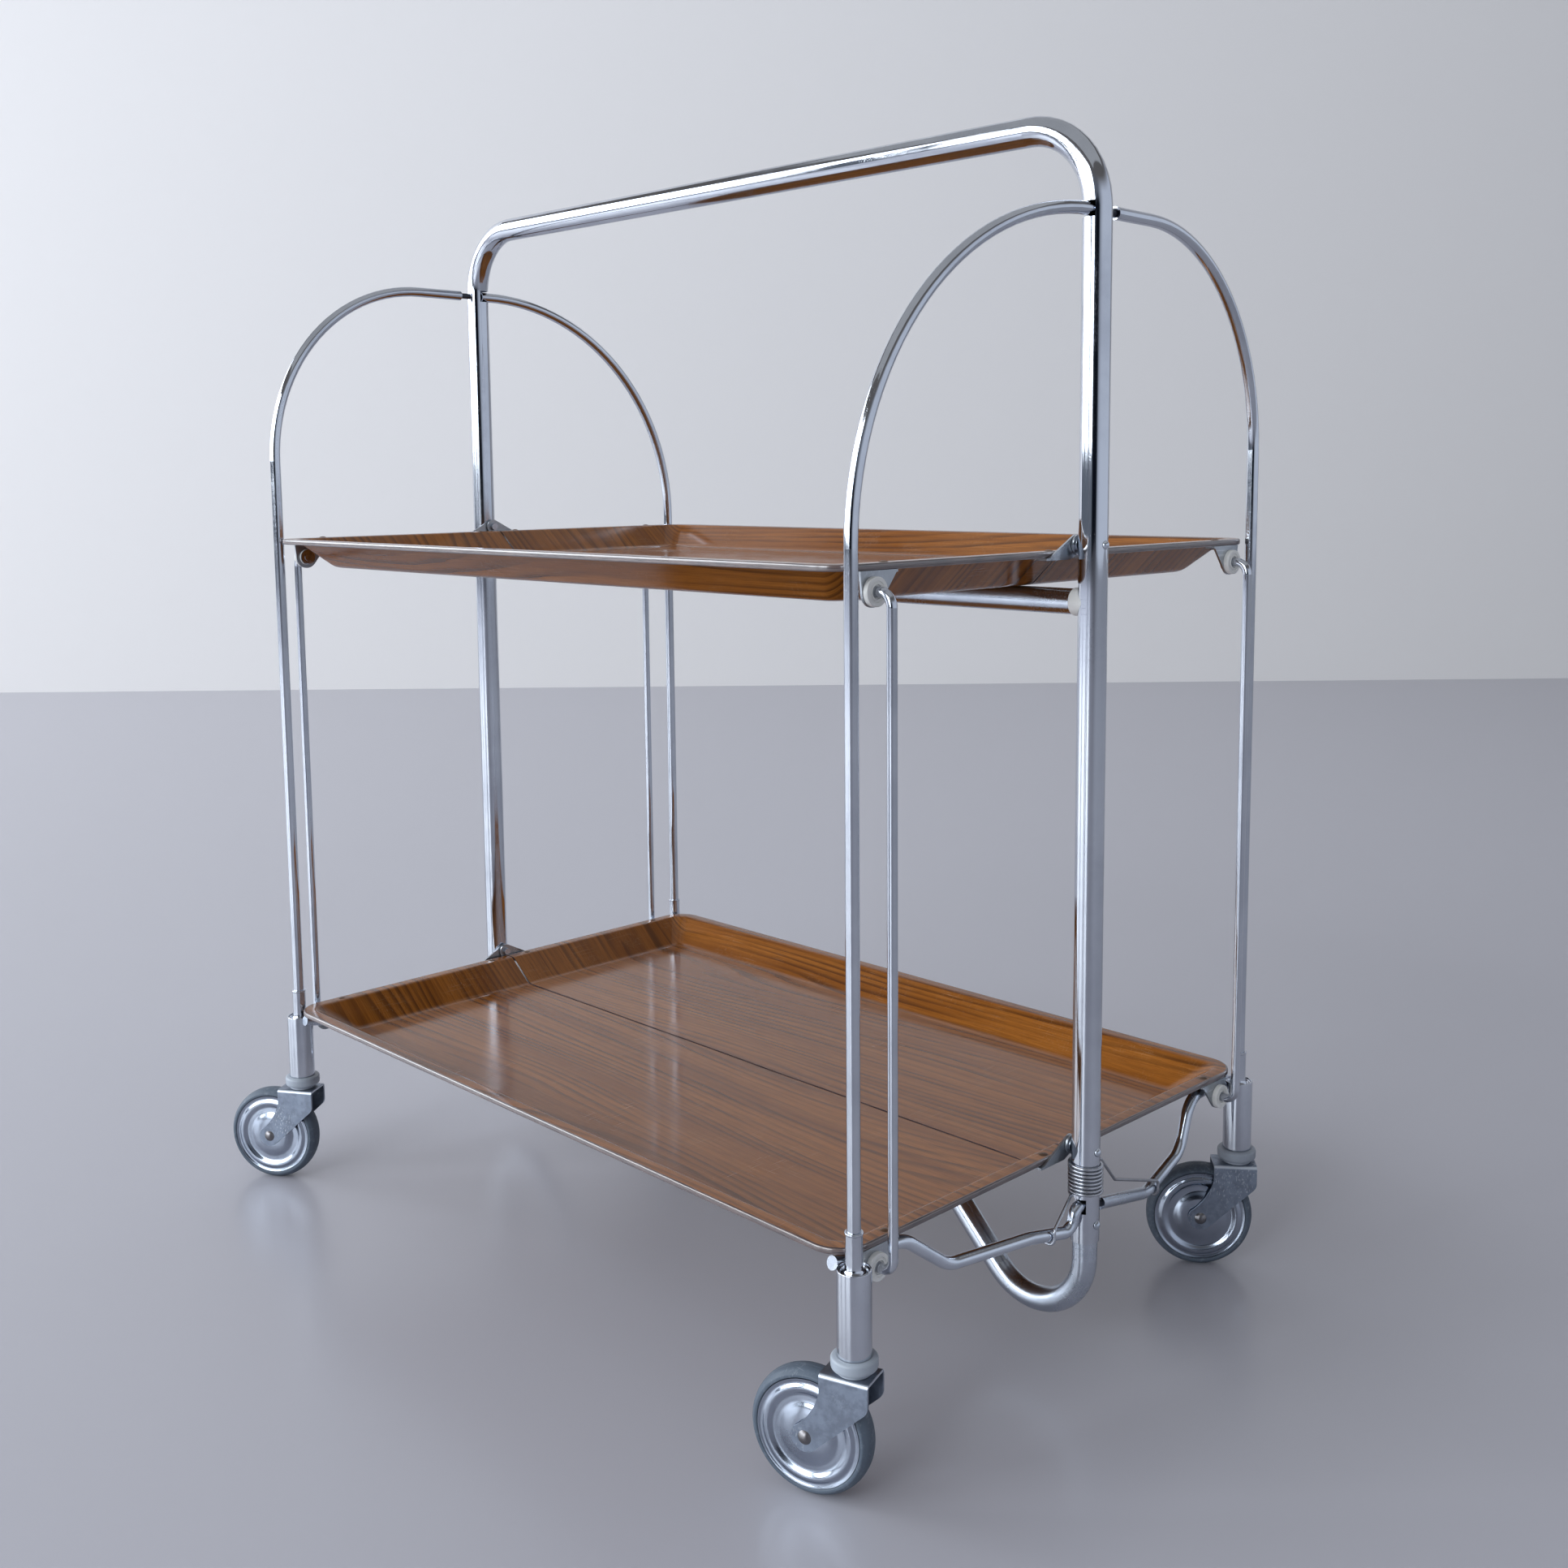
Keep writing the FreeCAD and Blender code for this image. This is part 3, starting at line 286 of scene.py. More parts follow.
def corner_curves(before, corner, after, roundings, steps):
    """Each corner as a curve that leaves one side and meets the next at the rounding's distance from the
    corner: a blend of the two sides, weighted 1 - t and t."""
    back, onward = before - corner, after - corner
    reach = np.array(roundings, float)[:, None]
    start = corner + back / np.linalg.norm(back, axis=1, keepdims=True) * reach
    end = corner + onward / np.linalg.norm(onward, axis=1, keepdims=True) * reach
    t = np.linspace(0, 1, steps)[None, :, None]
    curve = (1 - t) ** 2 * start[:, None] + 2 * t * (1 - t) * corner[:, None] + t ** 2 * end[:, None]
    return curve.reshape(-1, 2)


def rounded_outline(corners_2d, roundings, steps=6):
    """A closed (radius, height) outline through the corners, with each one rounded."""
    at = np.array(corners_2d, float)
    return corner_curves(np.roll(at, 1, 0), at, np.roll(at, -1, 0), roundings, steps)


def turned(outline, centre, axis, steps=turned_steps):
    """A closed (radius, height) outline carried round an axis: centre + axis x height + the radius times
    a unit vector that goes once round the axis."""
    axis = np.array(axis, float) / np.linalg.norm(axis)
    across = np.cross(axis, (0.0, 0.0, 1.0) if abs(axis[2]) < 0.9 else (1.0, 0.0, 0.0))
    across /= np.linalg.norm(across)
    upward = np.cross(axis, across)
    turn = np.linspace(0, 2 * np.pi, steps, endpoint=False)
    around = np.cos(turn)[:, None] * across + np.sin(turn)[:, None] * upward
    points = (np.array(centre, float) + outline[:, None, 1:] * axis
              + outline[:, None, :1] * around[None])
    return points, grid_faces(len(outline), steps, True, True)


def joined(parts):
    """Several (points, faces) pairs as one."""
    points = [part[0].reshape(-1, 3) for part in parts]
    starts = np.cumsum([0] + [len(one) for one in points[:-1]])
    return np.concatenate(points), np.concatenate([part[1] + start for part, start in zip(parts, starts)])


nylon = white_nylon()
give(zinc, "cross_tube")

low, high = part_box("cross_tube_collars")
cross_height = (low.z + high.z) / 2
cross_collar_outline = rounded_outline(
    [(cross_tube_radius, -cross_collar_reach), (cross_collar_radius, -cross_collar_reach),
     (cross_collar_radius, 0.0), (cross_tube_radius, 0.0)], [0.0002, 0.0006, 0.0001, 0.0001])
cross_collar_parts = []
for end in (1, -1):
    points, faces = turned(cross_collar_outline, (0.0, 0.0, cross_height), (end, 0, 0))
    hollow = upright_x - np.sqrt(upright_radius ** 2 - points[..., 1] ** 2)
    flat_face = upright_x - upright_radius
    on_upright = np.abs(points[..., 0]) < cross_collar_reach / 2
    points[..., 0] += end * np.where(on_upright, hollow, flat_face)
    cross_collar_parts.append((points, faces))
cross_collars = new_piece("cross_tube_rings", *joined(cross_collar_parts), nylon, "frame", "white_nylon")
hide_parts("cross_tube_collars")


# ---------------------------------------------------------------------------------------------------
# Hinge bolts with their nuts and washers, and the two screws of the base loop: zinc-plated steel. The
# tray halves' ears turn on the bolts, and the screws pin the base loop in the uprights.

give(zinc, "hinge_bolts", "hinge_washers", "frame_screws")


# ---------------------------------------------------------------------------------------------------
# Legs: four thin chromed tubes, each bent over at the top in one arch that meets the upright. Two arches
# end in the uprights' slots, and two hang on stub pins of blued steel.

def blacked_pin():
    """Stub pins: blued steel, nearly black, clouded with handling."""
    finish, tree, shader = new_finish("blued steel pin", Metallic=0.9)
    haze = effect(tree, haze_group, Clean=0.28, Hazy=0.45)
    tree.links.new(between(tree, haze.outputs["Cloud"], rgb(74, 78, 88), rgb(52, 50, 52)),
                   shader.inputs["Base Color"])
    tree.links.new(haze.outputs["Roughness"], shader.inputs["Roughness"])
    return finish


dark_pin = blacked_pin()
corners = ("near_right", "near_left", "far_right", "far_left")
give(chrome, *(f"leg_{corner}" for corner in corners))
give(dark_pin, "gate_stub_pins")


# ---------------------------------------------------------------------------------------------------
# Rails: four bright zinc-plated bars from the uprights to the housings, cranked under the tray's corners.
# Two start in the uprights' slots, and two hang on stub pins by a goose neck.

give(zinc, *(f"rail_{corner}" for corner in corners))


# ---------------------------------------------------------------------------------------------------
# Torsion springs: spring steel wire coiled round each upright, with an arm hooked over each rail. The
# wire is bright, with duller patches where its oil has dried.

def oiled_wire():
    """Spring steel: grey and shiny, with darker patches where the oil has dried."""
    finish, tree, shader = new_finish("oiled spring wire", Metallic=1.0)
    haze = effect(tree, haze_group, Clean=0.2, Hazy=0.36)
    tree.links.new(between(tree, haze.outputs["Cloud"], rgb(204, 208, 216), rgb(150, 150, 154)),
                   shader.inputs["Base Color"])
    tree.links.new(haze.outputs["Roughness"], shader.inputs["Roughness"])
    return finish


wire_finish = oiled_wire()
give(wire_finish, "torsion_spring_right", "torsion_spring_left")


# ---------------------------------------------------------------------------------------------------
# Housings: a bright plated tube at the foot of each leg, closed by a dished plug with the leg's sleeve
# rising out of it. Under it a pale grey-blue plastic collar carries the caster's stem.

def grey_plastic():
    """Polyethylene: pale blue-grey with a soft sheen, clouded with dirt."""
    finish, tree, shader = new_finish("grey plastic")
    haze = effect(tree, haze_group, Clean=0.38, Hazy=0.55)
    tree.links.new(between(tree, haze.outputs["Cloud"], rgb(164, 172, 182), rgb(140, 146, 156)),
                   shader.inputs["Base Color"])
    tree.links.new(haze.outputs["Roughness"], shader.inputs["Roughness"])
    return finish


plastic = grey_plastic()

leg_x = 0.311
leg_y = 0.201
housing_foot = 0.088
housing_mouth = 0.138
housing_radius = 0.010
housing_bore = 0.0088
plug_foot = 0.118
plug_radius = 0.00875
plug_top = housing_mouth - 0.001
plug_lip_radius = 0.0079
plug_dish = 0.1355
dish_radius = 0.0070
sleeve_bore = 0.00405
sleeve_radius = 0.005
sleeve_flare = 0.0054
sleeve_neck = 0.1398
sleeve_top = 0.1595
collar_radius = 0.0135
collar_underside = 0.0806
boss_radius = 0.0100
collar_bore = 0.0041
spigot_radius = 0.0087


def foot_of(corner):
    """The point of the floor under a leg."""
    return Vector((leg_x if corner.endswith("right") else -leg_x,
                   leg_y if corner.startswith("far") else -leg_y, 0.0))


shell_outline = rounded_outline(
    [(housing_bore, housing_foot), (housing_radius, housing_foot), (housing_radius, housing_mouth),
     (housing_bore, housing_mouth)],
    [0.0003, 0.0003, 0.0006, 0.0005])
plug_outline = rounded_outline(
    [(sleeve_bore, plug_foot), (plug_radius, plug_foot), (plug_radius, plug_top),
     (plug_lip_radius, plug_top), (dish_radius, plug_dish), (sleeve_bore, plug_dish)],
    [0.0003, 0.0003, 0.0003, 0.0004, 0.0006, 0.0003])
sleeve_outline = rounded_outline(
    [(sleeve_bore, plug_dish), (dish_radius, plug_dish), (sleeve_flare, housing_mouth - 0.0002),
     (sleeve_radius, sleeve_neck), (sleeve_radius, sleeve_top - 0.0016),
     (sleeve_flare, sleeve_top - 0.0012), (sleeve_flare, sleeve_top - 0.0004),
     (sleeve_radius, sleeve_top), (sleeve_bore, sleeve_top)],
    [0.0001, 0.0002, 0.0009, 0.0008, 0.0002, 0.0002, 0.0002, 0.0002, 0.0002])
collar_low, collar_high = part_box("housing_collars")
collar_outline = rounded_outline(
    [(collar_bore, collar_low.z), (boss_radius, collar_low.z), (boss_radius, collar_underside - 0.0008),
     (collar_radius, collar_underside), (collar_radius, housing_foot - 0.0006),
     (collar_radius - 0.0030, housing_foot),
     (spigot_radius, housing_foot - 0.0004), (spigot_radius, collar_high.z),
     (collar_bore, collar_high.z)],
    [0.0002, 0.0002, 0.0006, 0.0022, 0.0016, 0.0008, 0.0001, 0.0004, 0.0002], steps=8)
for corner in corners:
    foot = foot_of(corner)
    tubes = [turned(outline, foot, (0, 0, 1)) for outline in (shell_outline, plug_outline, sleeve_outline)]
    socket = new_piece(f"leg_socket_{corner}", *joined(tubes), chrome, "frame", "zinc")
    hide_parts(f"housing_{corner}")
collar_parts = [turned(collar_outline, foot_of(corner), (0, 0, 1)) for corner in corners]
collars = new_piece("caster_collars", *joined(collar_parts), plastic, "frame", "grey_plastic")
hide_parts("housing_collars")


# ---------------------------------------------------------------------------------------------------
# Tray halves: pressed paper laminate with a printed teak face on both sides and a dark resin core that
# shows along the cut edge. The walls are pressed up from the flat sheet, so the grain runs through them.

tray_length = 0.616
tray_width = 0.416
board = 0.004
rim_width = 0.010
rim_corner = 0.022
wall_corner = 0.012
floor_corner = 0.009
tray_depth = 0.019
floor_inset = 0.034
ring_inset = 0.041
under_bend_inset = 0.0128
under_floor_inset = 0.0326
edge_round = 0.0014
wall_round = 0.0018
floor_round = 0.0034
under_wall_round = 0.0020
under_floor_round = 0.0045
curve_points = 7
floor_rows = 11
half_seam = 0.00075
seam_waver = 0.0003
seam_waves = (31.0, 13.0)
sheet_apart = 0.9
sheet_aslant = 1.7
levels = ("upper", "lower")
sides = ("near", "far")


def rounded_path(corners_2d, roundings):
    """An open path through the corners, with each inner one rounded."""
    at = np.array(corners_2d, float)
    curves = corner_curves(at[:-2], at[1:-1], at[2:], roundings, curve_points)
    return np.concatenate([at[:1], curves, at[-1:]])


def tray_section():
    """The cut through rim, wall and floor as (inset, height) points: over the top from the rim's edge to
    the flat floor, then the same way back underneath."""
    over = rounded_path([(0.0, -board / 2), (0.0, 0.0), (rim_width, 0.0), (floor_inset, -tray_depth),
                         (ring_inset, -tray_depth)], [edge_round, wall_round, floor_round])
    under = rounded_path([(ring_inset, -tray_depth - board), (under_floor_inset, -tray_depth - board),
                          (under_bend_inset, -board), (0.0, -board), (0.0, -board / 2)],
                         [under_floor_round, under_wall_round, edge_round])
    return over, under


def half_outline(inset, side_steps=10, corner_steps=12, long_steps=34):
    """The near half's outline at each inset from the rim, from the seam round the near side and back to
    the seam: straight, quarter circle, straight, quarter circle, straight. Also its outward directions."""
    inset = np.asarray(inset)[:, None]
    half_x, half_y = tray_length / 2 - inset, tray_width / 2 - inset
    radius = np.where(inset < rim_width, rim_corner - inset,
                      np.interp(inset, (rim_width, floor_inset), (wall_corner, floor_corner)))
    s = np.linspace(0, 1, side_steps, endpoint=False)[None, :]
    q = np.linspace(0, np.pi / 2, corner_steps)[None, :]
    e = np.linspace(0, 1, long_steps + 2)[None, 1:-1]
    side_x, side_y = half_x * np.ones_like(s), -(half_y - radius) * s
    arc_x = half_x - radius + radius * np.cos(q)
    arc_y = -(half_y - radius) - radius * np.sin(q)
    long_x, long_y = (half_x - radius) * (1 - 2 * e), -half_y * np.ones_like(e)
    x = np.concatenate([side_x, arc_x, long_x, -arc_x[:, ::-1], -side_x[:, ::-1]], 1)
    y = np.concatenate([side_y, arc_y, long_y, arc_y[:, ::-1], side_y[:, ::-1]], 1)
    flat, none = np.ones_like(s), np.zeros_like(s)
    out_x = np.concatenate([flat, np.cos(q), 0 * e, -np.cos(q)[:, ::-1], -flat], 1)
    out_y = np.concatenate([none, -np.sin(q), 0 * e - 1, -np.sin(q)[:, ::-1], none], 1)
    return x, y, out_x, out_y


def tray_half(level, side, finish):
    """A half tray as one closed skin. Its points run along the half's outline one way, and the other way
    over the rim, down the wall and across the floor to the seam, then back underneath to the rim's edge.
    Across the floor they go evenly from the last ring to the seam line. The resin core shows at the rim's
    edge and just under it, at the seam and at both ends. The sheet map unrolls the wall for the print."""
    over, under = tray_section()
    rim_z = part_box(f"{level}_{side}_tray")[1].z
    to_seam = np.linspace(0, 1, floor_rows + 1)[1:, None]
    section = np.concatenate([over, under])
    x, y, out_x, out_y = half_outline(section[:, 0])
    seam_x = x[len(over) - 1]
    waves = np.sin(seam_x * seam_waves[0]) * np.cos(seam_x * seam_waves[1])
    seam_y = -half_seam - seam_waver * (1 + waves)
    y = np.minimum(y, -half_seam)
    z = section[:, 1:] + rim_z + 0 * x
    ring = len(over)
    floor_x = np.repeat(seam_x[None], floor_rows, 0)
    floor_y = y[ring - 1][None] * (1 - to_seam) + seam_y[None] * to_seam
    top_z = np.full_like(floor_x, rim_z - tray_depth)
    x = np.concatenate([x[:ring], floor_x, floor_x[::-1], x[ring:-1]])
    y = np.concatenate([y[:ring], floor_y, floor_y[::-1], y[ring:-1]])
    z = np.concatenate([z[:ring], top_z, top_z - board, z[ring:-1]])
    points = np.stack([x, y, z], -1)

    rows, columns = x.shape
    faces = grid_faces(rows, columns, True, False)[:, ::-1]
    first_end = np.arange(rows) * columns
    seam_row = ring + floor_rows - 1
    core_rows = np.r_[0:curve_points, rows - curve_points - 1:rows, seam_row]
    is_core = np.isin(faces.min(1) // columns, core_rows)
    faces = faces.tolist() + [first_end.tolist(), (first_end[::-1] + columns - 1).tolist()]
    kinds = np.concatenate([is_core, [1, 1]])

    length_out = np.concatenate([[0], np.cumsum(np.linalg.norm(np.diff(over, axis=0), axis=1))])
    spare_over = (length_out[-1] - length_out) - (ring_inset - over[:, 0])
    length_back = np.concatenate([[0], np.cumsum(np.linalg.norm(np.diff(under, axis=0), axis=1))])
    spare_under = length_back - (ring_inset - under[:, 0])
    spare = np.concatenate([spare_over, np.zeros(2 * floor_rows), spare_under[:-1]])[:, None]
    sheet_u, sheet_v = x + out_x * spare, y + out_y * spare
    if side == "far":
        points *= (-1, -1, 1)
    piece = new_piece(f"{level}_{side}_laminate", points, faces, finish, f"{level}_{side}_half",
                      "laminate", crease=math.radians(50), finish_of_face=kinds)
    sheet = piece.data.uv_layers.new(name="sheet")
    corner_of = np.zeros(len(piece.data.loops), np.int32)
    piece.data.loops.foreach_get("vertex_index", corner_of)
    offset = (levels.index(level) * 2 + sides.index(side)) * sheet_apart
    flat = np.stack([sheet_u.ravel() + offset * sheet_aslant, sheet_v.ravel() + offset], -1)[corner_of]
    sheet.data.foreach_set("uv", flat.ravel().astype(np.float32))
    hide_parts(f"{level}_{side}_tray")
    return piece


def teak_print():
    """Printed teak under clear resin: broad tone bands, growth lines that bend into long arches, fine
    dark pores, a soft gloss with a faint ripple, and wipe marks."""
    finish, tree, shader = new_finish("teak laminate", Specular_IOR_Level=0.36)
    sheet = add(tree, "UVMap", uv_map="sheet").outputs[0]

    def stretched_noise(along, over, scale, detail=3.0, rough=0.55, bend=0.0):
        place = add(tree, "Mapping", {"Vector": sheet, "Scale": (along, over, 1.0)}).outputs[0]
        return add(tree, "TexNoise", {"Vector": place, "Scale": scale, "Detail": detail,
                                      "Roughness": rough, "Distortion": bend}).outputs["Fac"]

    bands = stretched_noise(0.4, 7.0, 5.0)
    across = add(tree, "SeparateXYZ", {"Vector": sheet}).outputs["Y"]
    arches = times(tree, stretched_noise(0.35, 1.6, 5.0, 1.0, 0.4), 15.0)
    waver = times(tree, stretched_noise(1.0, 9.0, 6.0, 2.0), 1.1)
    rings = times(tree, times(tree, times(tree, across, 125.0), arches, "ADD"), waver, "ADD")
    saw = add(tree, "Math", {0: rings}, operation="FRACT").outputs[0]
    growth = times(tree, stepped(tree, saw, 0.30, 0.86), stepped(tree, saw, 0.90, 1.0, 1.0, 0.0))
    faded = stepped(tree, stretched_noise(0.6, 9.0, 7.0, 2.0), 0.36, 0.62, 0.12, 0.7)
    fibres = stretched_noise(1.0, 42.0, 24.0, 4.0, 0.7)
    pores = stepped(tree, stretched_noise(2.6, 80.0, 30.0, 2.0, 0.6), 0.60, 0.70)

    plain = between(tree, stepped(tree, bands, 0.35, 0.65), rgb(152, 94, 39), rgb(128, 75, 28))
    fibred = between(tree, times(tree, stepped(tree, fibres, 0.42, 0.68), 0.7), plain, rgb(112, 64, 25))
    grown = between(tree, times(tree, growth, faded), fibred, rgb(66, 39, 22))
    colour = between(tree, times(tree, pores, 0.4), grown, rgb(54, 33, 20))
    haze = effect(tree, haze_group, Clean=0.10, Hazy=0.22)
    scratches = effect(tree, scratches_group, Scale=2000.0, Amount=0.4)
    worn = between(tree, times(tree, scratches.outputs["Mask"], 0.35), colour, rgb(196, 164, 130))
    tree.links.new(worn, shader.inputs["Base Color"])
    tree.links.new(times(tree, haze.outputs["Roughness"], times(tree, scratches.outputs["Mask"], 0.2), "ADD"),
                   shader.inputs["Roughness"])
    place = add(tree, "TexCoord").outputs["Object"]
    ripple = add(tree, "TexNoise", {"Vector": place, "Scale": 70.0, "Detail": 1.0}).outputs["Fac"]
    height = times(tree, ripple, times(tree, pores, 0.1), "SUBTRACT")
    bump = add(tree, "Bump", {"Strength": 0.06, "Distance": 0.0006, "Height": height})
    tree.links.new(bump.outputs[0], shader.inputs["Normal"])
    return finish


def resin_core():
    """The cut edge: dark brown resin in fine layers, with a hard bright gloss."""
    finish, tree, shader = new_finish("resin core edge", Coat_Weight=0.85, Coat_IOR=2.2, Coat_Roughness=0.2)
    place = add(tree, "TexCoord").outputs["Object"]
    layers = add(tree, "Mapping", {"Vector": place, "Scale": (0.02, 0.02, 1.0)}).outputs[0]
    leaf = add(tree, "TexNoise", {"Vector": layers, "Scale": 2600.0, "Detail": 2.0}).outputs["Fac"]
    tree.links.new(between(tree, stepped(tree, leaf, 0.4, 0.62), rgb(58, 44, 46), rgb(104, 84, 78)),
                   shader.inputs["Base Color"])
    haze = effect(tree, haze_group, Clean=0.35, Hazy=0.6)
    tree.links.new(haze.outputs["Roughness"], shader.inputs["Roughness"])
    bump = add(tree, "Bump", {"Strength": 0.2, "Distance": 0.0002, "Height": leaf})
    tree.links.new(bump.outputs[0], shader.inputs["Normal"])
    return finish


teak = teak_print()
core = resin_core()
for level in levels:
    for side in sides:
        tray_half(level, side, (teak, core))


# ---------------------------------------------------------------------------------------------------
# Hinge ears and corner brackets: folded zinc-plated sheet, riveted under the rims. The rivets' flat
# heads are bronzed, and white nylon bushes in the corner brackets carry the connecting rods.

def bronzed_steel():
    """Dull brown plating, clouded."""
    finish, tree, shader = new_finish("bronzed rivet", Metallic=0.5)
    haze = effect(tree, haze_group, Clean=0.35, Hazy=0.5)
    tree.links.new(between(tree, haze.outputs["Cloud"], rgb(112, 86, 66), rgb(84, 64, 50)),
                   shader.inputs["Base Color"])
    tree.links.new(haze.outputs["Roughness"], shader.inputs["Roughness"])
    return finish


def dark_zinc_sheet():
    """Plated sheet gone grey: clouded, with bright scratches."""
    finish, tree, shader = new_finish("grey zinc sheet", Metallic=1.0)
    haze = effect(tree, haze_group, Clean=0.26, Hazy=0.46)
    scratches = effect(tree, scratches_group, Scale=2200.0, Amount=0.6)
    cloudy = between(tree, haze.outputs["Cloud"], rgb(192, 197, 203), rgb(150, 155, 160))
    tree.links.new(between(tree, scratches.outputs["Mask"], cloudy, rgb(214, 218, 222)),
                   shader.inputs["Base Color"])
    tree.links.new(haze.outputs["Roughness"], shader.inputs["Roughness"])
    bump = add(tree, "Bump", {"Strength": 0.12, "Distance": 0.0002, "Height": scratches.outputs["Mask"]})
    tree.links.new(bump.outputs[0], shader.inputs["Normal"])
    return finish


bronzed = bronzed_steel()
dark_zinc = dark_zinc_sheet()
give(dark_zinc, *(f"{level}_{side}_brackets" for level in levels for side in sides))
give(bronzed, *(f"{level}_{side}_rivets" for level in levels for side in sides))

bush_face = 0.3110
bush_radius = 0.00825
bush_body_radius = 0.006
bush_bore = 0.00308
bush_length = 0.0060
bush_flange = 0.0035
groove_outer, groove_outer_foot = 0.0060, 0.0057
groove_inner, groove_inner_foot = 0.0044, 0.0047
groove_depth = 0.0008
mouth_radius, mouth_foot_radius = 0.0041, 0.0039
mouth_depth = 0.0012
bush_outline = rounded_outline(
    [(bush_bore, -bush_length), (bush_body_radius, -bush_length), (bush_body_radius, -bush_flange),
     (bush_radius, -bush_flange), (bush_radius, 0.0), (groove_outer, 0.0),
     (groove_outer_foot, -groove_depth), (groove_inner_foot, -groove_depth), (groove_inner, 0.0),
     (mouth_radius, 0.0), (mouth_foot_radius, -mouth_depth), (bush_bore, -mouth_depth)],
    [0.0001, 0.0003, 0.0003, 0.0003, 0.0006, 0.0001, 0.0002, 0.0002, 0.0001, 0.0001, 0.0001, 0.0001])
for level in levels:
    for side in sides:
        low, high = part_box(f"{level}_{side}_bushes")
        middle = (low + high) / 2
        pair = [turned(bush_outline, (end * bush_face, middle.y, middle.z), (end, 0, 0))
                for end in (1, -1)]
        bushes = new_piece(f"{level}_{side}_rod_bushes", *joined(pair), nylon, f"{level}_{side}_half",
                           "white_nylon")
        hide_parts(f"{level}_{side}_bushes")


# ---------------------------------------------------------------------------------------------------
# Connecting rods: four chromed rods that hang the lower halves from the upper ones. Each is hooked
# through a nylon bush at both ends and held there by lock washers.

give(chrome, *(f"rod_{corner}" for corner in corners))


# ---------------------------------------------------------------------------------------------------
# Caster forks and axles: the forks are bent from galvanised sheet, dull blue-grey with a painted
# highlight line along the top bends, and each axle is a riveted pin with two domed heads.

def galvanised_sheet():
    """Hot-dip zinc gone dull: a cloudy blue-grey with faint crystals and a few bright scrapes."""
    finish, tree, shader = new_finish("galvanised fork sheet", Metallic=0.8)
    place = add(tree, "TexCoord").outputs["Object"]
    crystal = add(tree, "TexVoronoi", {"Vector": place, "Scale": 170.0, "Randomness": 1.0}).outputs["Color"]
    grey = add(tree, "SeparateColor", {"Color": crystal}).outputs["Red"]
    haze = effect(tree, haze_group, Clean=0.36, Hazy=0.56)
    scratches = effect(tree, scratches_group, Scale=1500.0, Amount=0.8)
    blotches = add(tree, "TexNoise", {"Vector": place, "Scale": 130.0, "Detail": 4.0,
                                      "Roughness": 0.65}).outputs["Fac"]
    base = between(tree, times(tree, grey, 0.3), rgb(146, 156, 172), rgb(122, 132, 148))
    dulled = between(tree, stepped(tree, blotches, 0.38, 0.66), base, rgb(126, 134, 148))
    # Painted highlight: a bright line in the base colour over the heights of the top bend, where light glints
    # on the fold.
    height = add(tree, "SeparateXYZ", {"Vector": place}).outputs["Z"]
    above_side = stepped(tree, height, 0.0750, 0.0764)
    below_crown = stepped(tree, height, 0.0770, 0.0776, 1.0, 0.0)
    painted_bend_highlight = times(tree, above_side, below_crown)
    bend_highlighted = between(tree, times(tree, painted_bend_highlight, 0.8), dulled, rgb(214, 220, 228))
    tree.links.new(between(tree, scratches.outputs["Mask"], bend_highlighted, rgb(196, 202, 212)),
                   shader.inputs["Base Color"])
    tree.links.new(haze.outputs["Roughness"], shader.inputs["Roughness"])
    bump = add(tree, "Bump", {"Strength": 0.12, "Distance": 0.0003, "Height": grey})
    tree.links.new(bump.outputs[0], shader.inputs["Normal"])
    return finish


def rivet_steel():
    """Axle rivets: dark grey steel, dully polished, with brownish grime in its clouds."""
    finish, tree, shader = new_finish("worn rivet steel", Metallic=1.0)
    haze = effect(tree, haze_group, Clean=0.28, Hazy=0.5)
    tree.links.new(between(tree, haze.outputs["Cloud"], rgb(138, 137, 140), rgb(104, 96, 92)),
                   shader.inputs["Base Color"])
    tree.links.new(haze.outputs["Roughness"], shader.inputs["Roughness"])
    return finish


galvanised = galvanised_sheet()
worn_steel = rivet_steel()
give(galvanised, *(f"fork_{corner}" for corner in corners))
give(worn_steel, *(f"axle_{corner}" for corner in corners))


# ---------------------------------------------------------------------------------------------------
# Wheel discs: two round pressings in bright nickel, riveted over a hub tube. Each has a raised centre, a
# groove, a rounded ridge and a lip that holds the tyre.

axle_height = 0.0375
trail = 0.026
trail_angle = {"near_right": -161.8, "near_left": -147.1, "far_right": -141.0, "far_left": -150.0}
disc_radius = 0.0320
disc_sheet = 0.0012
hub_half = 0.00915
hub_radius = 0.0070
hub_bore = 0.00305
disc_knots = np.array([(0.0071, 0.0086), (0.0098, 0.0086), (0.0128, 0.0082), (0.0155, 0.0075),
                       (0.0187, 0.0063), (0.0226, 0.0061), (0.0246, 0.0073), (0.0260, 0.0079),
                       (0.0276, 0.0077), (0.0290, 0.0066), (0.0300, 0.0064), (0.0320, 0.0073)])


def nickelled_steel():
    """Bright pressed nickel: faint smears, hairline scratches and a few dull specks."""
    finish, tree, shader = new_finish("nickelled disc", Metallic=1.0)
    haze = effect(tree, haze_group, Clean=0.14, Hazy=0.3)
    pits = effect(tree, pits_group, Scale=700.0, Size=0.09)
    scratches = effect(tree, scratches_group, Scale=2600.0, Amount=0.5)
    plated = between(tree, haze.outputs["Cloud"], rgb(176, 184, 197), rgb(138, 147, 162))
    tree.links.new(between(tree, pits.outputs["Mask"], plated, rgb(124, 124, 126)),
                   shader.inputs["Base Color"])
    tree.links.new(times(tree, haze.outputs["Roughness"], times(tree, scratches.outputs["Mask"], 0.2), "ADD"),
                   shader.inputs["Roughness"])
    bump = add(tree, "Bump", {"Strength": 0.1, "Distance": 0.0002, "Height": scratches.outputs["Mask"]})
    tree.links.new(bump.outputs[0], shader.inputs["Normal"])
    return finish


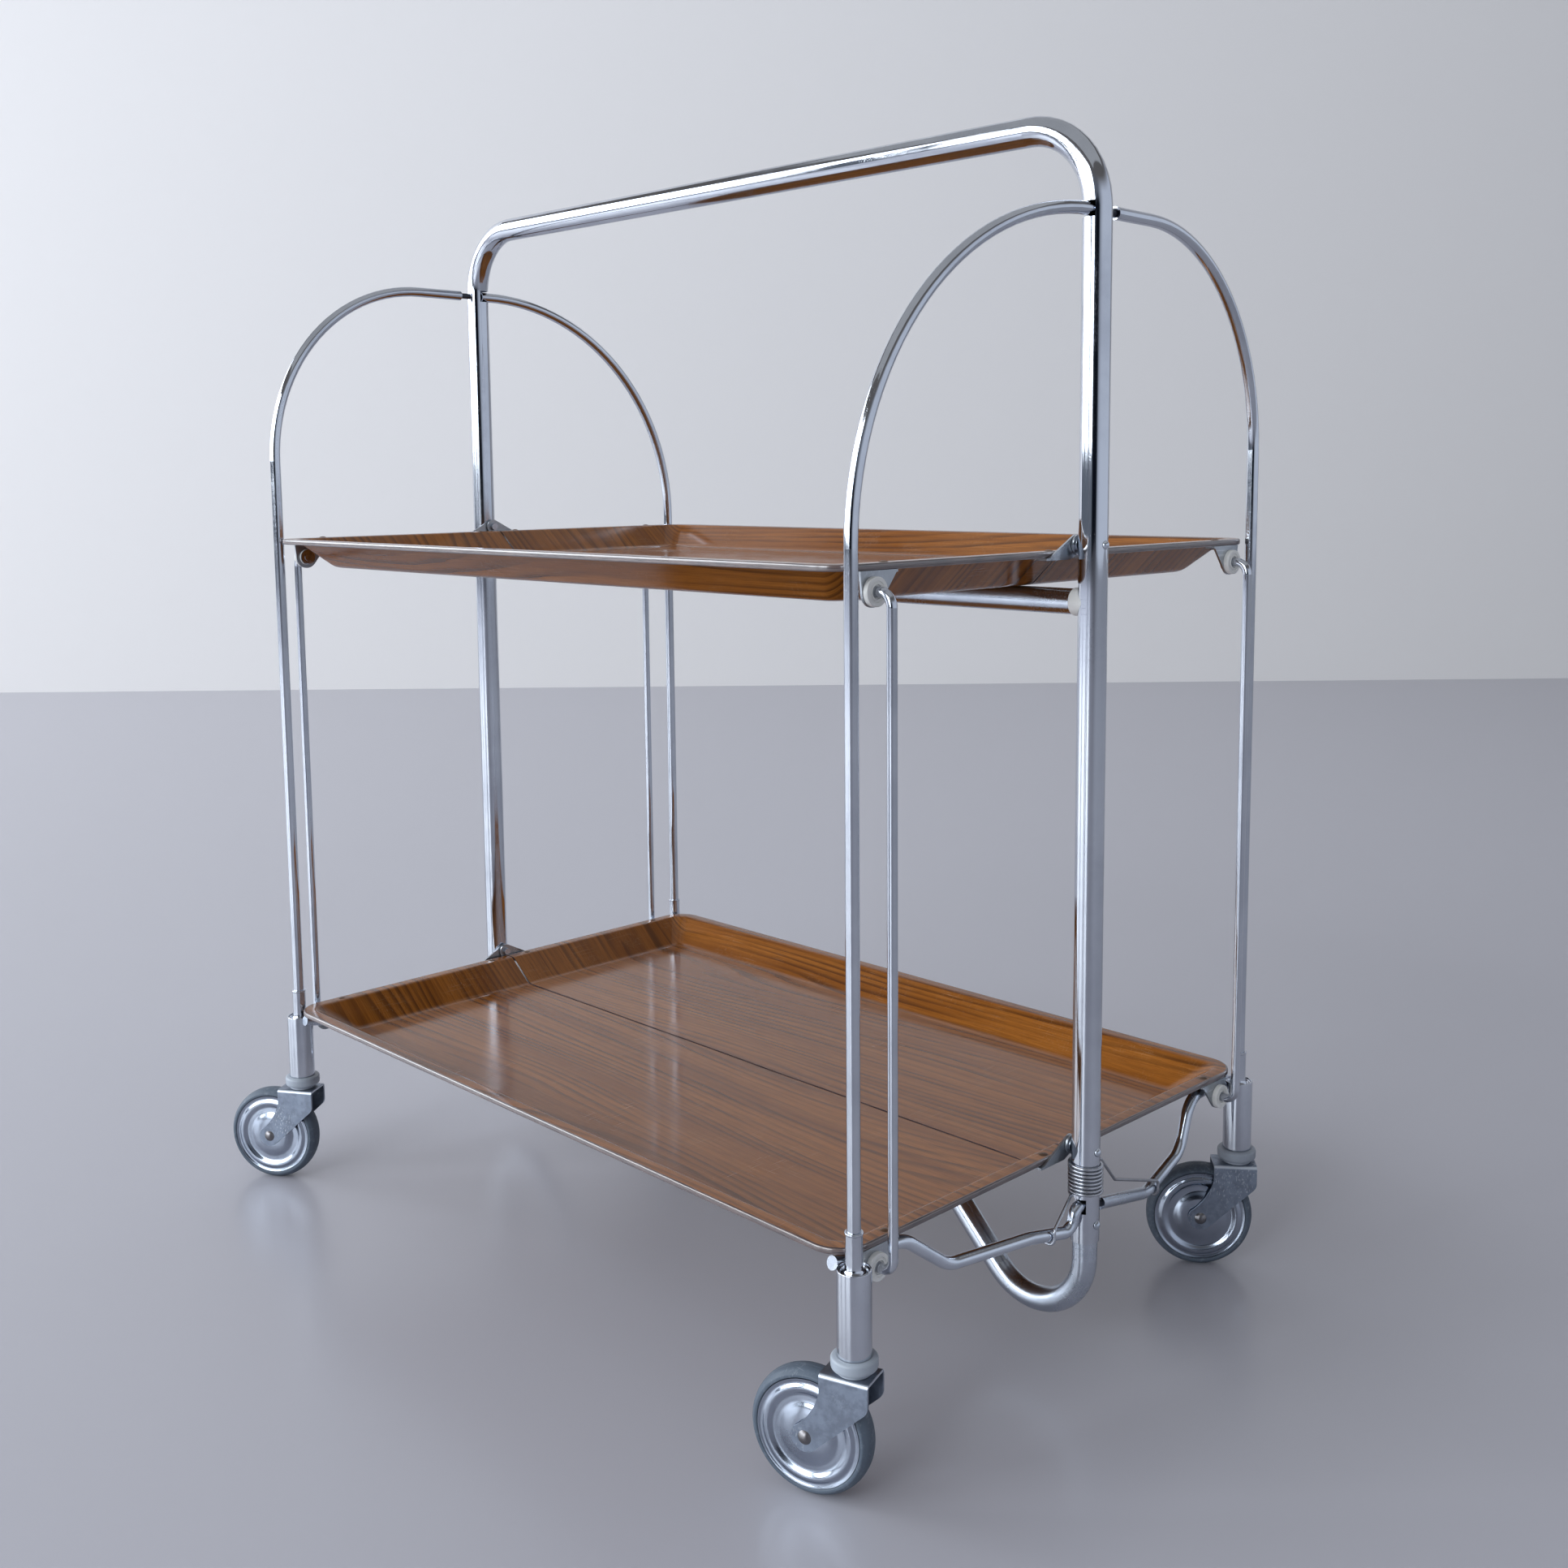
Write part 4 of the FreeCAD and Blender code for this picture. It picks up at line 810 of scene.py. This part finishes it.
def pressed_profile(samples=120, softness=0.0009):
    """A disc's half section as (radius, height): the knots joined straight, then each height replaced by
    the mean of its neighbours within the softness, as a press rounds every bend."""
    radius = np.linspace(disc_knots[0, 0], disc_radius, samples)
    reach = radius[:, None] + np.linspace(-softness, softness, 15)[None]
    height = np.interp(reach, disc_knots[:, 0], disc_knots[:, 1]).mean(1)
    return np.stack([radius, height], -1)


def axle_of(corner):
    """The middle of a caster's axle and its direction, from the foot, the trail and its bearing."""
    bearing = math.radians(trail_angle[corner])
    middle = foot_of(corner) + Vector((trail * math.cos(bearing), trail * math.sin(bearing), axle_height))
    return middle, Vector((-math.sin(bearing), math.cos(bearing), 0.0))


nickel = nickelled_steel()
face_line = pressed_profile()
back_line = (face_line - (0.0, disc_sheet))[::-1]
shell = np.concatenate([face_line, back_line])[::-1]
hub_outline = rounded_outline([(hub_bore, -hub_half), (hub_radius, -hub_half), (hub_radius, hub_half),
                               (hub_bore, hub_half)], [0.0003] * 4, steps=4)
for corner in corners:
    middle, along = axle_of(corner)
    parts = [turned(shell, middle, along), turned(shell, middle, -along),
             turned(hub_outline[::-1], middle, along, steps=48)]
    wheel = new_piece(f"wheel_disc_{corner}", *joined(parts), nickel, f"{corner}_wheel", "disc_zinc",
                      crease=math.radians(60))
    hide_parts(f"disc_{corner}")


# ---------------------------------------------------------------------------------------------------
# Tyres: moulded grey rubber rings held between the discs, with flat sides, a rounded tread and the thin
# seam of the mould round the middle.

tyre_radius = 0.0375
tyre_half = 0.0075
tyre_inner = 0.0323
bead_radius = 0.0289
bead_half = 0.0049


def tyre_rubber():
    """Grey rubber: chalky blue-grey, dusted paler in patches and scuffed."""
    finish, tree, shader = new_finish("grey tyre rubber", Specular_IOR_Level=0.4)
    place = add(tree, "TexCoord").outputs["Object"]
    haze = effect(tree, haze_group, Clean=0.5, Hazy=0.72)
    scratches = effect(tree, scratches_group, Scale=1500.0, Amount=0.4)
    dust = add(tree, "TexNoise", {"Vector": place, "Scale": 190.0, "Detail": 4.0, "Roughness": 0.7})
    base = between(tree, haze.outputs["Cloud"], rgb(88, 99, 112), rgb(70, 80, 93))
    dusty = between(tree, stepped(tree, dust.outputs["Fac"], 0.52, 0.75), base, rgb(112, 121, 132))
    tree.links.new(between(tree, scratches.outputs["Mask"], dusty, rgb(134, 141, 150)),
                   shader.inputs["Base Color"])
    tree.links.new(haze.outputs["Roughness"], shader.inputs["Roughness"])
    bump = add(tree, "Bump", {"Strength": 0.25, "Distance": 0.0003, "Height": dust.outputs["Fac"]})
    tree.links.new(bump.outputs[0], shader.inputs["Normal"])
    return finish


rubber = tyre_rubber()
side_out = [(tyre_inner, tyre_half - 0.0005), (0.0329, tyre_half), (0.0342, tyre_half),
            (0.0348, tyre_half - 0.0005), (0.0367, 0.0048), (tyre_radius - 0.0001, 0.0022),
            (tyre_radius - 0.0001, 0.0004), (tyre_radius, 0.0003)]
side_round = [0.0002, 0.0003, 0.0004, 0.0004, 0.0011, 0.0008, 0.0001, 0.0001]
bead = [(tyre_inner, -bead_half), (bead_radius, -bead_half), (bead_radius, bead_half),
        (tyre_inner, bead_half)]
tyre_corners = side_out + [(r, -h) for r, h in side_out[::-1]] + bead
tyre_outline = rounded_outline(tyre_corners, side_round + side_round[::-1] + [0.0003] * 4, steps=5)
for corner in corners:
    middle, along = axle_of(corner)
    tyre = new_piece(f"tyre_ring_{corner}", *turned(tyre_outline, middle, along), rubber,
                     f"{corner}_wheel", "tyre_rubber")
    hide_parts(f"tyre_{corner}")


# ---------------------------------------------------------------------------------------------------
# Floor: a plain pale floor with a dull polish, one flat sheet that reaches nine metres out from the
# trolley on every side.

floor_size = 9.0


def flat_sheet(name, corners_xyz, finish):
    """One flat four-sided face through the corners."""
    mesh = bpy.data.meshes.new(name)
    mesh.from_pydata(corners_xyz, [], [(0, 1, 2, 3)])
    mesh.materials.append(finish)
    sheet = bpy.data.objects.new(name, mesh)
    bpy.context.scene.collection.objects.link(sheet)
    return sheet


floor_finish = new_finish("floor", Base_Color=rgb(180, 179, 187), Roughness=0.28)[0]
flat_sheet("floor", [(-floor_size, -floor_size, 0), (floor_size, -floor_size, 0),
                     (floor_size, floor_size, 0), (-floor_size, floor_size, 0)], floor_finish)


# ---------------------------------------------------------------------------------------------------
# Camera: off the trolley's near right corner, about 1.2 metres from its middle, looking slightly down.
# The render is square, and the shift sets where the trolley stands in it.

camera_place = Vector((0.91561450, -0.83860480, 0.57577656))
camera_forward = Vector((-0.71077861, 0.69351998, -0.1175747)).normalized()
camera_right = Vector((0.69910339, 0.71496304, -0.00907156)).normalized()
camera_up = camera_right.cross(camera_forward)
camera_data = bpy.data.cameras.new("camera")
camera_data.lens = 38.384
camera_data.sensor_width = 36.0
camera_data.sensor_fit = "HORIZONTAL"
camera_data.shift_x = -0.0018
camera_data.shift_y = -0.0735
camera_data.clip_start = 0.02
camera_data.clip_end = 60.0
camera = bpy.data.objects.new("camera", camera_data)
bpy.context.scene.collection.objects.link(camera)
turn = Matrix((camera_right, camera_up, -camera_forward)).transposed().to_4x4()
camera.matrix_world = Matrix.Translation(camera_place) @ turn
bpy.context.scene.camera = camera


# ---------------------------------------------------------------------------------------------------
# Back wall: a plain pale sheet that stands on the floor across the camera's view, well behind the
# trolley.

wall_distance = 4.48
wall_height = 4.0
wall_reach = 6.0

wall_finish = new_finish("wall", Base_Color=rgb(226, 223, 222), Roughness=0.8)[0]
away = Vector((camera_forward.x, camera_forward.y, 0)).normalized()
along_wall = Vector((-away.y, away.x, 0))
wall_foot = Vector((camera_place.x, camera_place.y, 0)) + away * wall_distance
wall_top = Vector((0, 0, wall_height))
wall_ends = [wall_foot + along_wall * reach for reach in (-wall_reach, wall_reach)]
flat_sheet("wall", [tuple(wall_ends[1]), tuple(wall_ends[0]), tuple(wall_ends[0] + wall_top),
                    tuple(wall_ends[1] + wall_top)], wall_finish)


# ---------------------------------------------------------------------------------------------------
# World: a level grey room with one bright side, one narrow dim corner and a darker top, which light the
# trolley and show in its chrome. The camera itself sees one plain pale colour instead.

level_light = rgb(104, 111, 122)
bright_side = rgb(204, 212, 226)
bright_bearing = 46.0
bright_spread = (-0.1, 0.6)
dim_corner = rgb(16, 20, 28)
dim_bearing = -52.0
dim_spread = (0.93, 0.985)
dark_top = rgb(104, 102, 102)
top_start = 0.35
top_full = 0.6
seen_colour = rgb(204, 204, 207)

world = bpy.data.worlds.new("room")
bpy.context.scene.world = world
world.use_nodes = True
room = world.node_tree
look = add(room, "TexCoord").outputs["Generated"]


def towards(bearing, low, high):
    """How near a direction is to a bearing from +X, from 0 at low to 1 at high of their dot product."""
    aim = Vector((math.cos(math.radians(bearing)), math.sin(math.radians(bearing)), 0.0))
    dot = add(room, "VectorMath", {0: look, 1: aim}, operation="DOT_PRODUCT").outputs["Value"]
    return stepped(room, dot, low, high)


lit = between(room, towards(bright_bearing, *bright_spread), level_light, bright_side)
lit = between(room, towards(dim_bearing, *dim_spread), lit, dim_corner)
height_of = add(room, "SeparateXYZ", {"Vector": look}).outputs["Z"]
lit = between(room, stepped(room, height_of, top_start, top_full), lit, dark_top)
seen = add(room, "LightPath").outputs["Is Camera Ray"]
room.links.new(between(room, seen, lit, seen_colour), room.nodes["Background"].inputs["Color"])
room.nodes["Background"].inputs["Strength"].default_value = 1.0


# ---------------------------------------------------------------------------------------------------
# Lamps: three tall soft windows side by side round the near and left sides, and a wide dim panel
# overhead. Their light is slightly blue, at a level where a colour renders about as it is written.

lamp_colour = (0.88, 0.94, 1.0)
window_bearings = (-84.0, -116.0, -148.0)
window_distance = 7.0
window_rise = 2.8
window_width = 3.3
window_height = 4.4
window_power = 270.0
window_aim = (0, 0, 0.9)
panel_rise = 3.4
panel_side = 5.0
panel_power = 26.0


def soft_lamp(name, place, aim, width, height, power):
    """A flat rectangular lamp facing a point."""
    lamp = bpy.data.lights.new(name, "AREA")
    lamp.shape = "RECTANGLE"
    lamp.size = width
    lamp.size_y = height
    lamp.energy = power
    lamp.color = lamp_colour
    holder = bpy.data.objects.new(name, lamp)
    bpy.context.scene.collection.objects.link(holder)
    away = Vector(place) - Vector(aim)
    holder.matrix_world = Matrix.Translation(place) @ away.to_track_quat("Z", "Y").to_matrix().to_4x4()


for number, bearing in enumerate(window_bearings):
    at_window = (window_distance * math.cos(math.radians(bearing)),
                 window_distance * math.sin(math.radians(bearing)), window_rise)
    soft_lamp(f"window_{number}", at_window, window_aim, window_width, window_height, window_power)
soft_lamp("ceiling", (0.0, 0.0, panel_rise), (0, 0, 0), panel_side, panel_side, panel_power)

bpy.context.scene.view_settings.view_transform = "Standard"
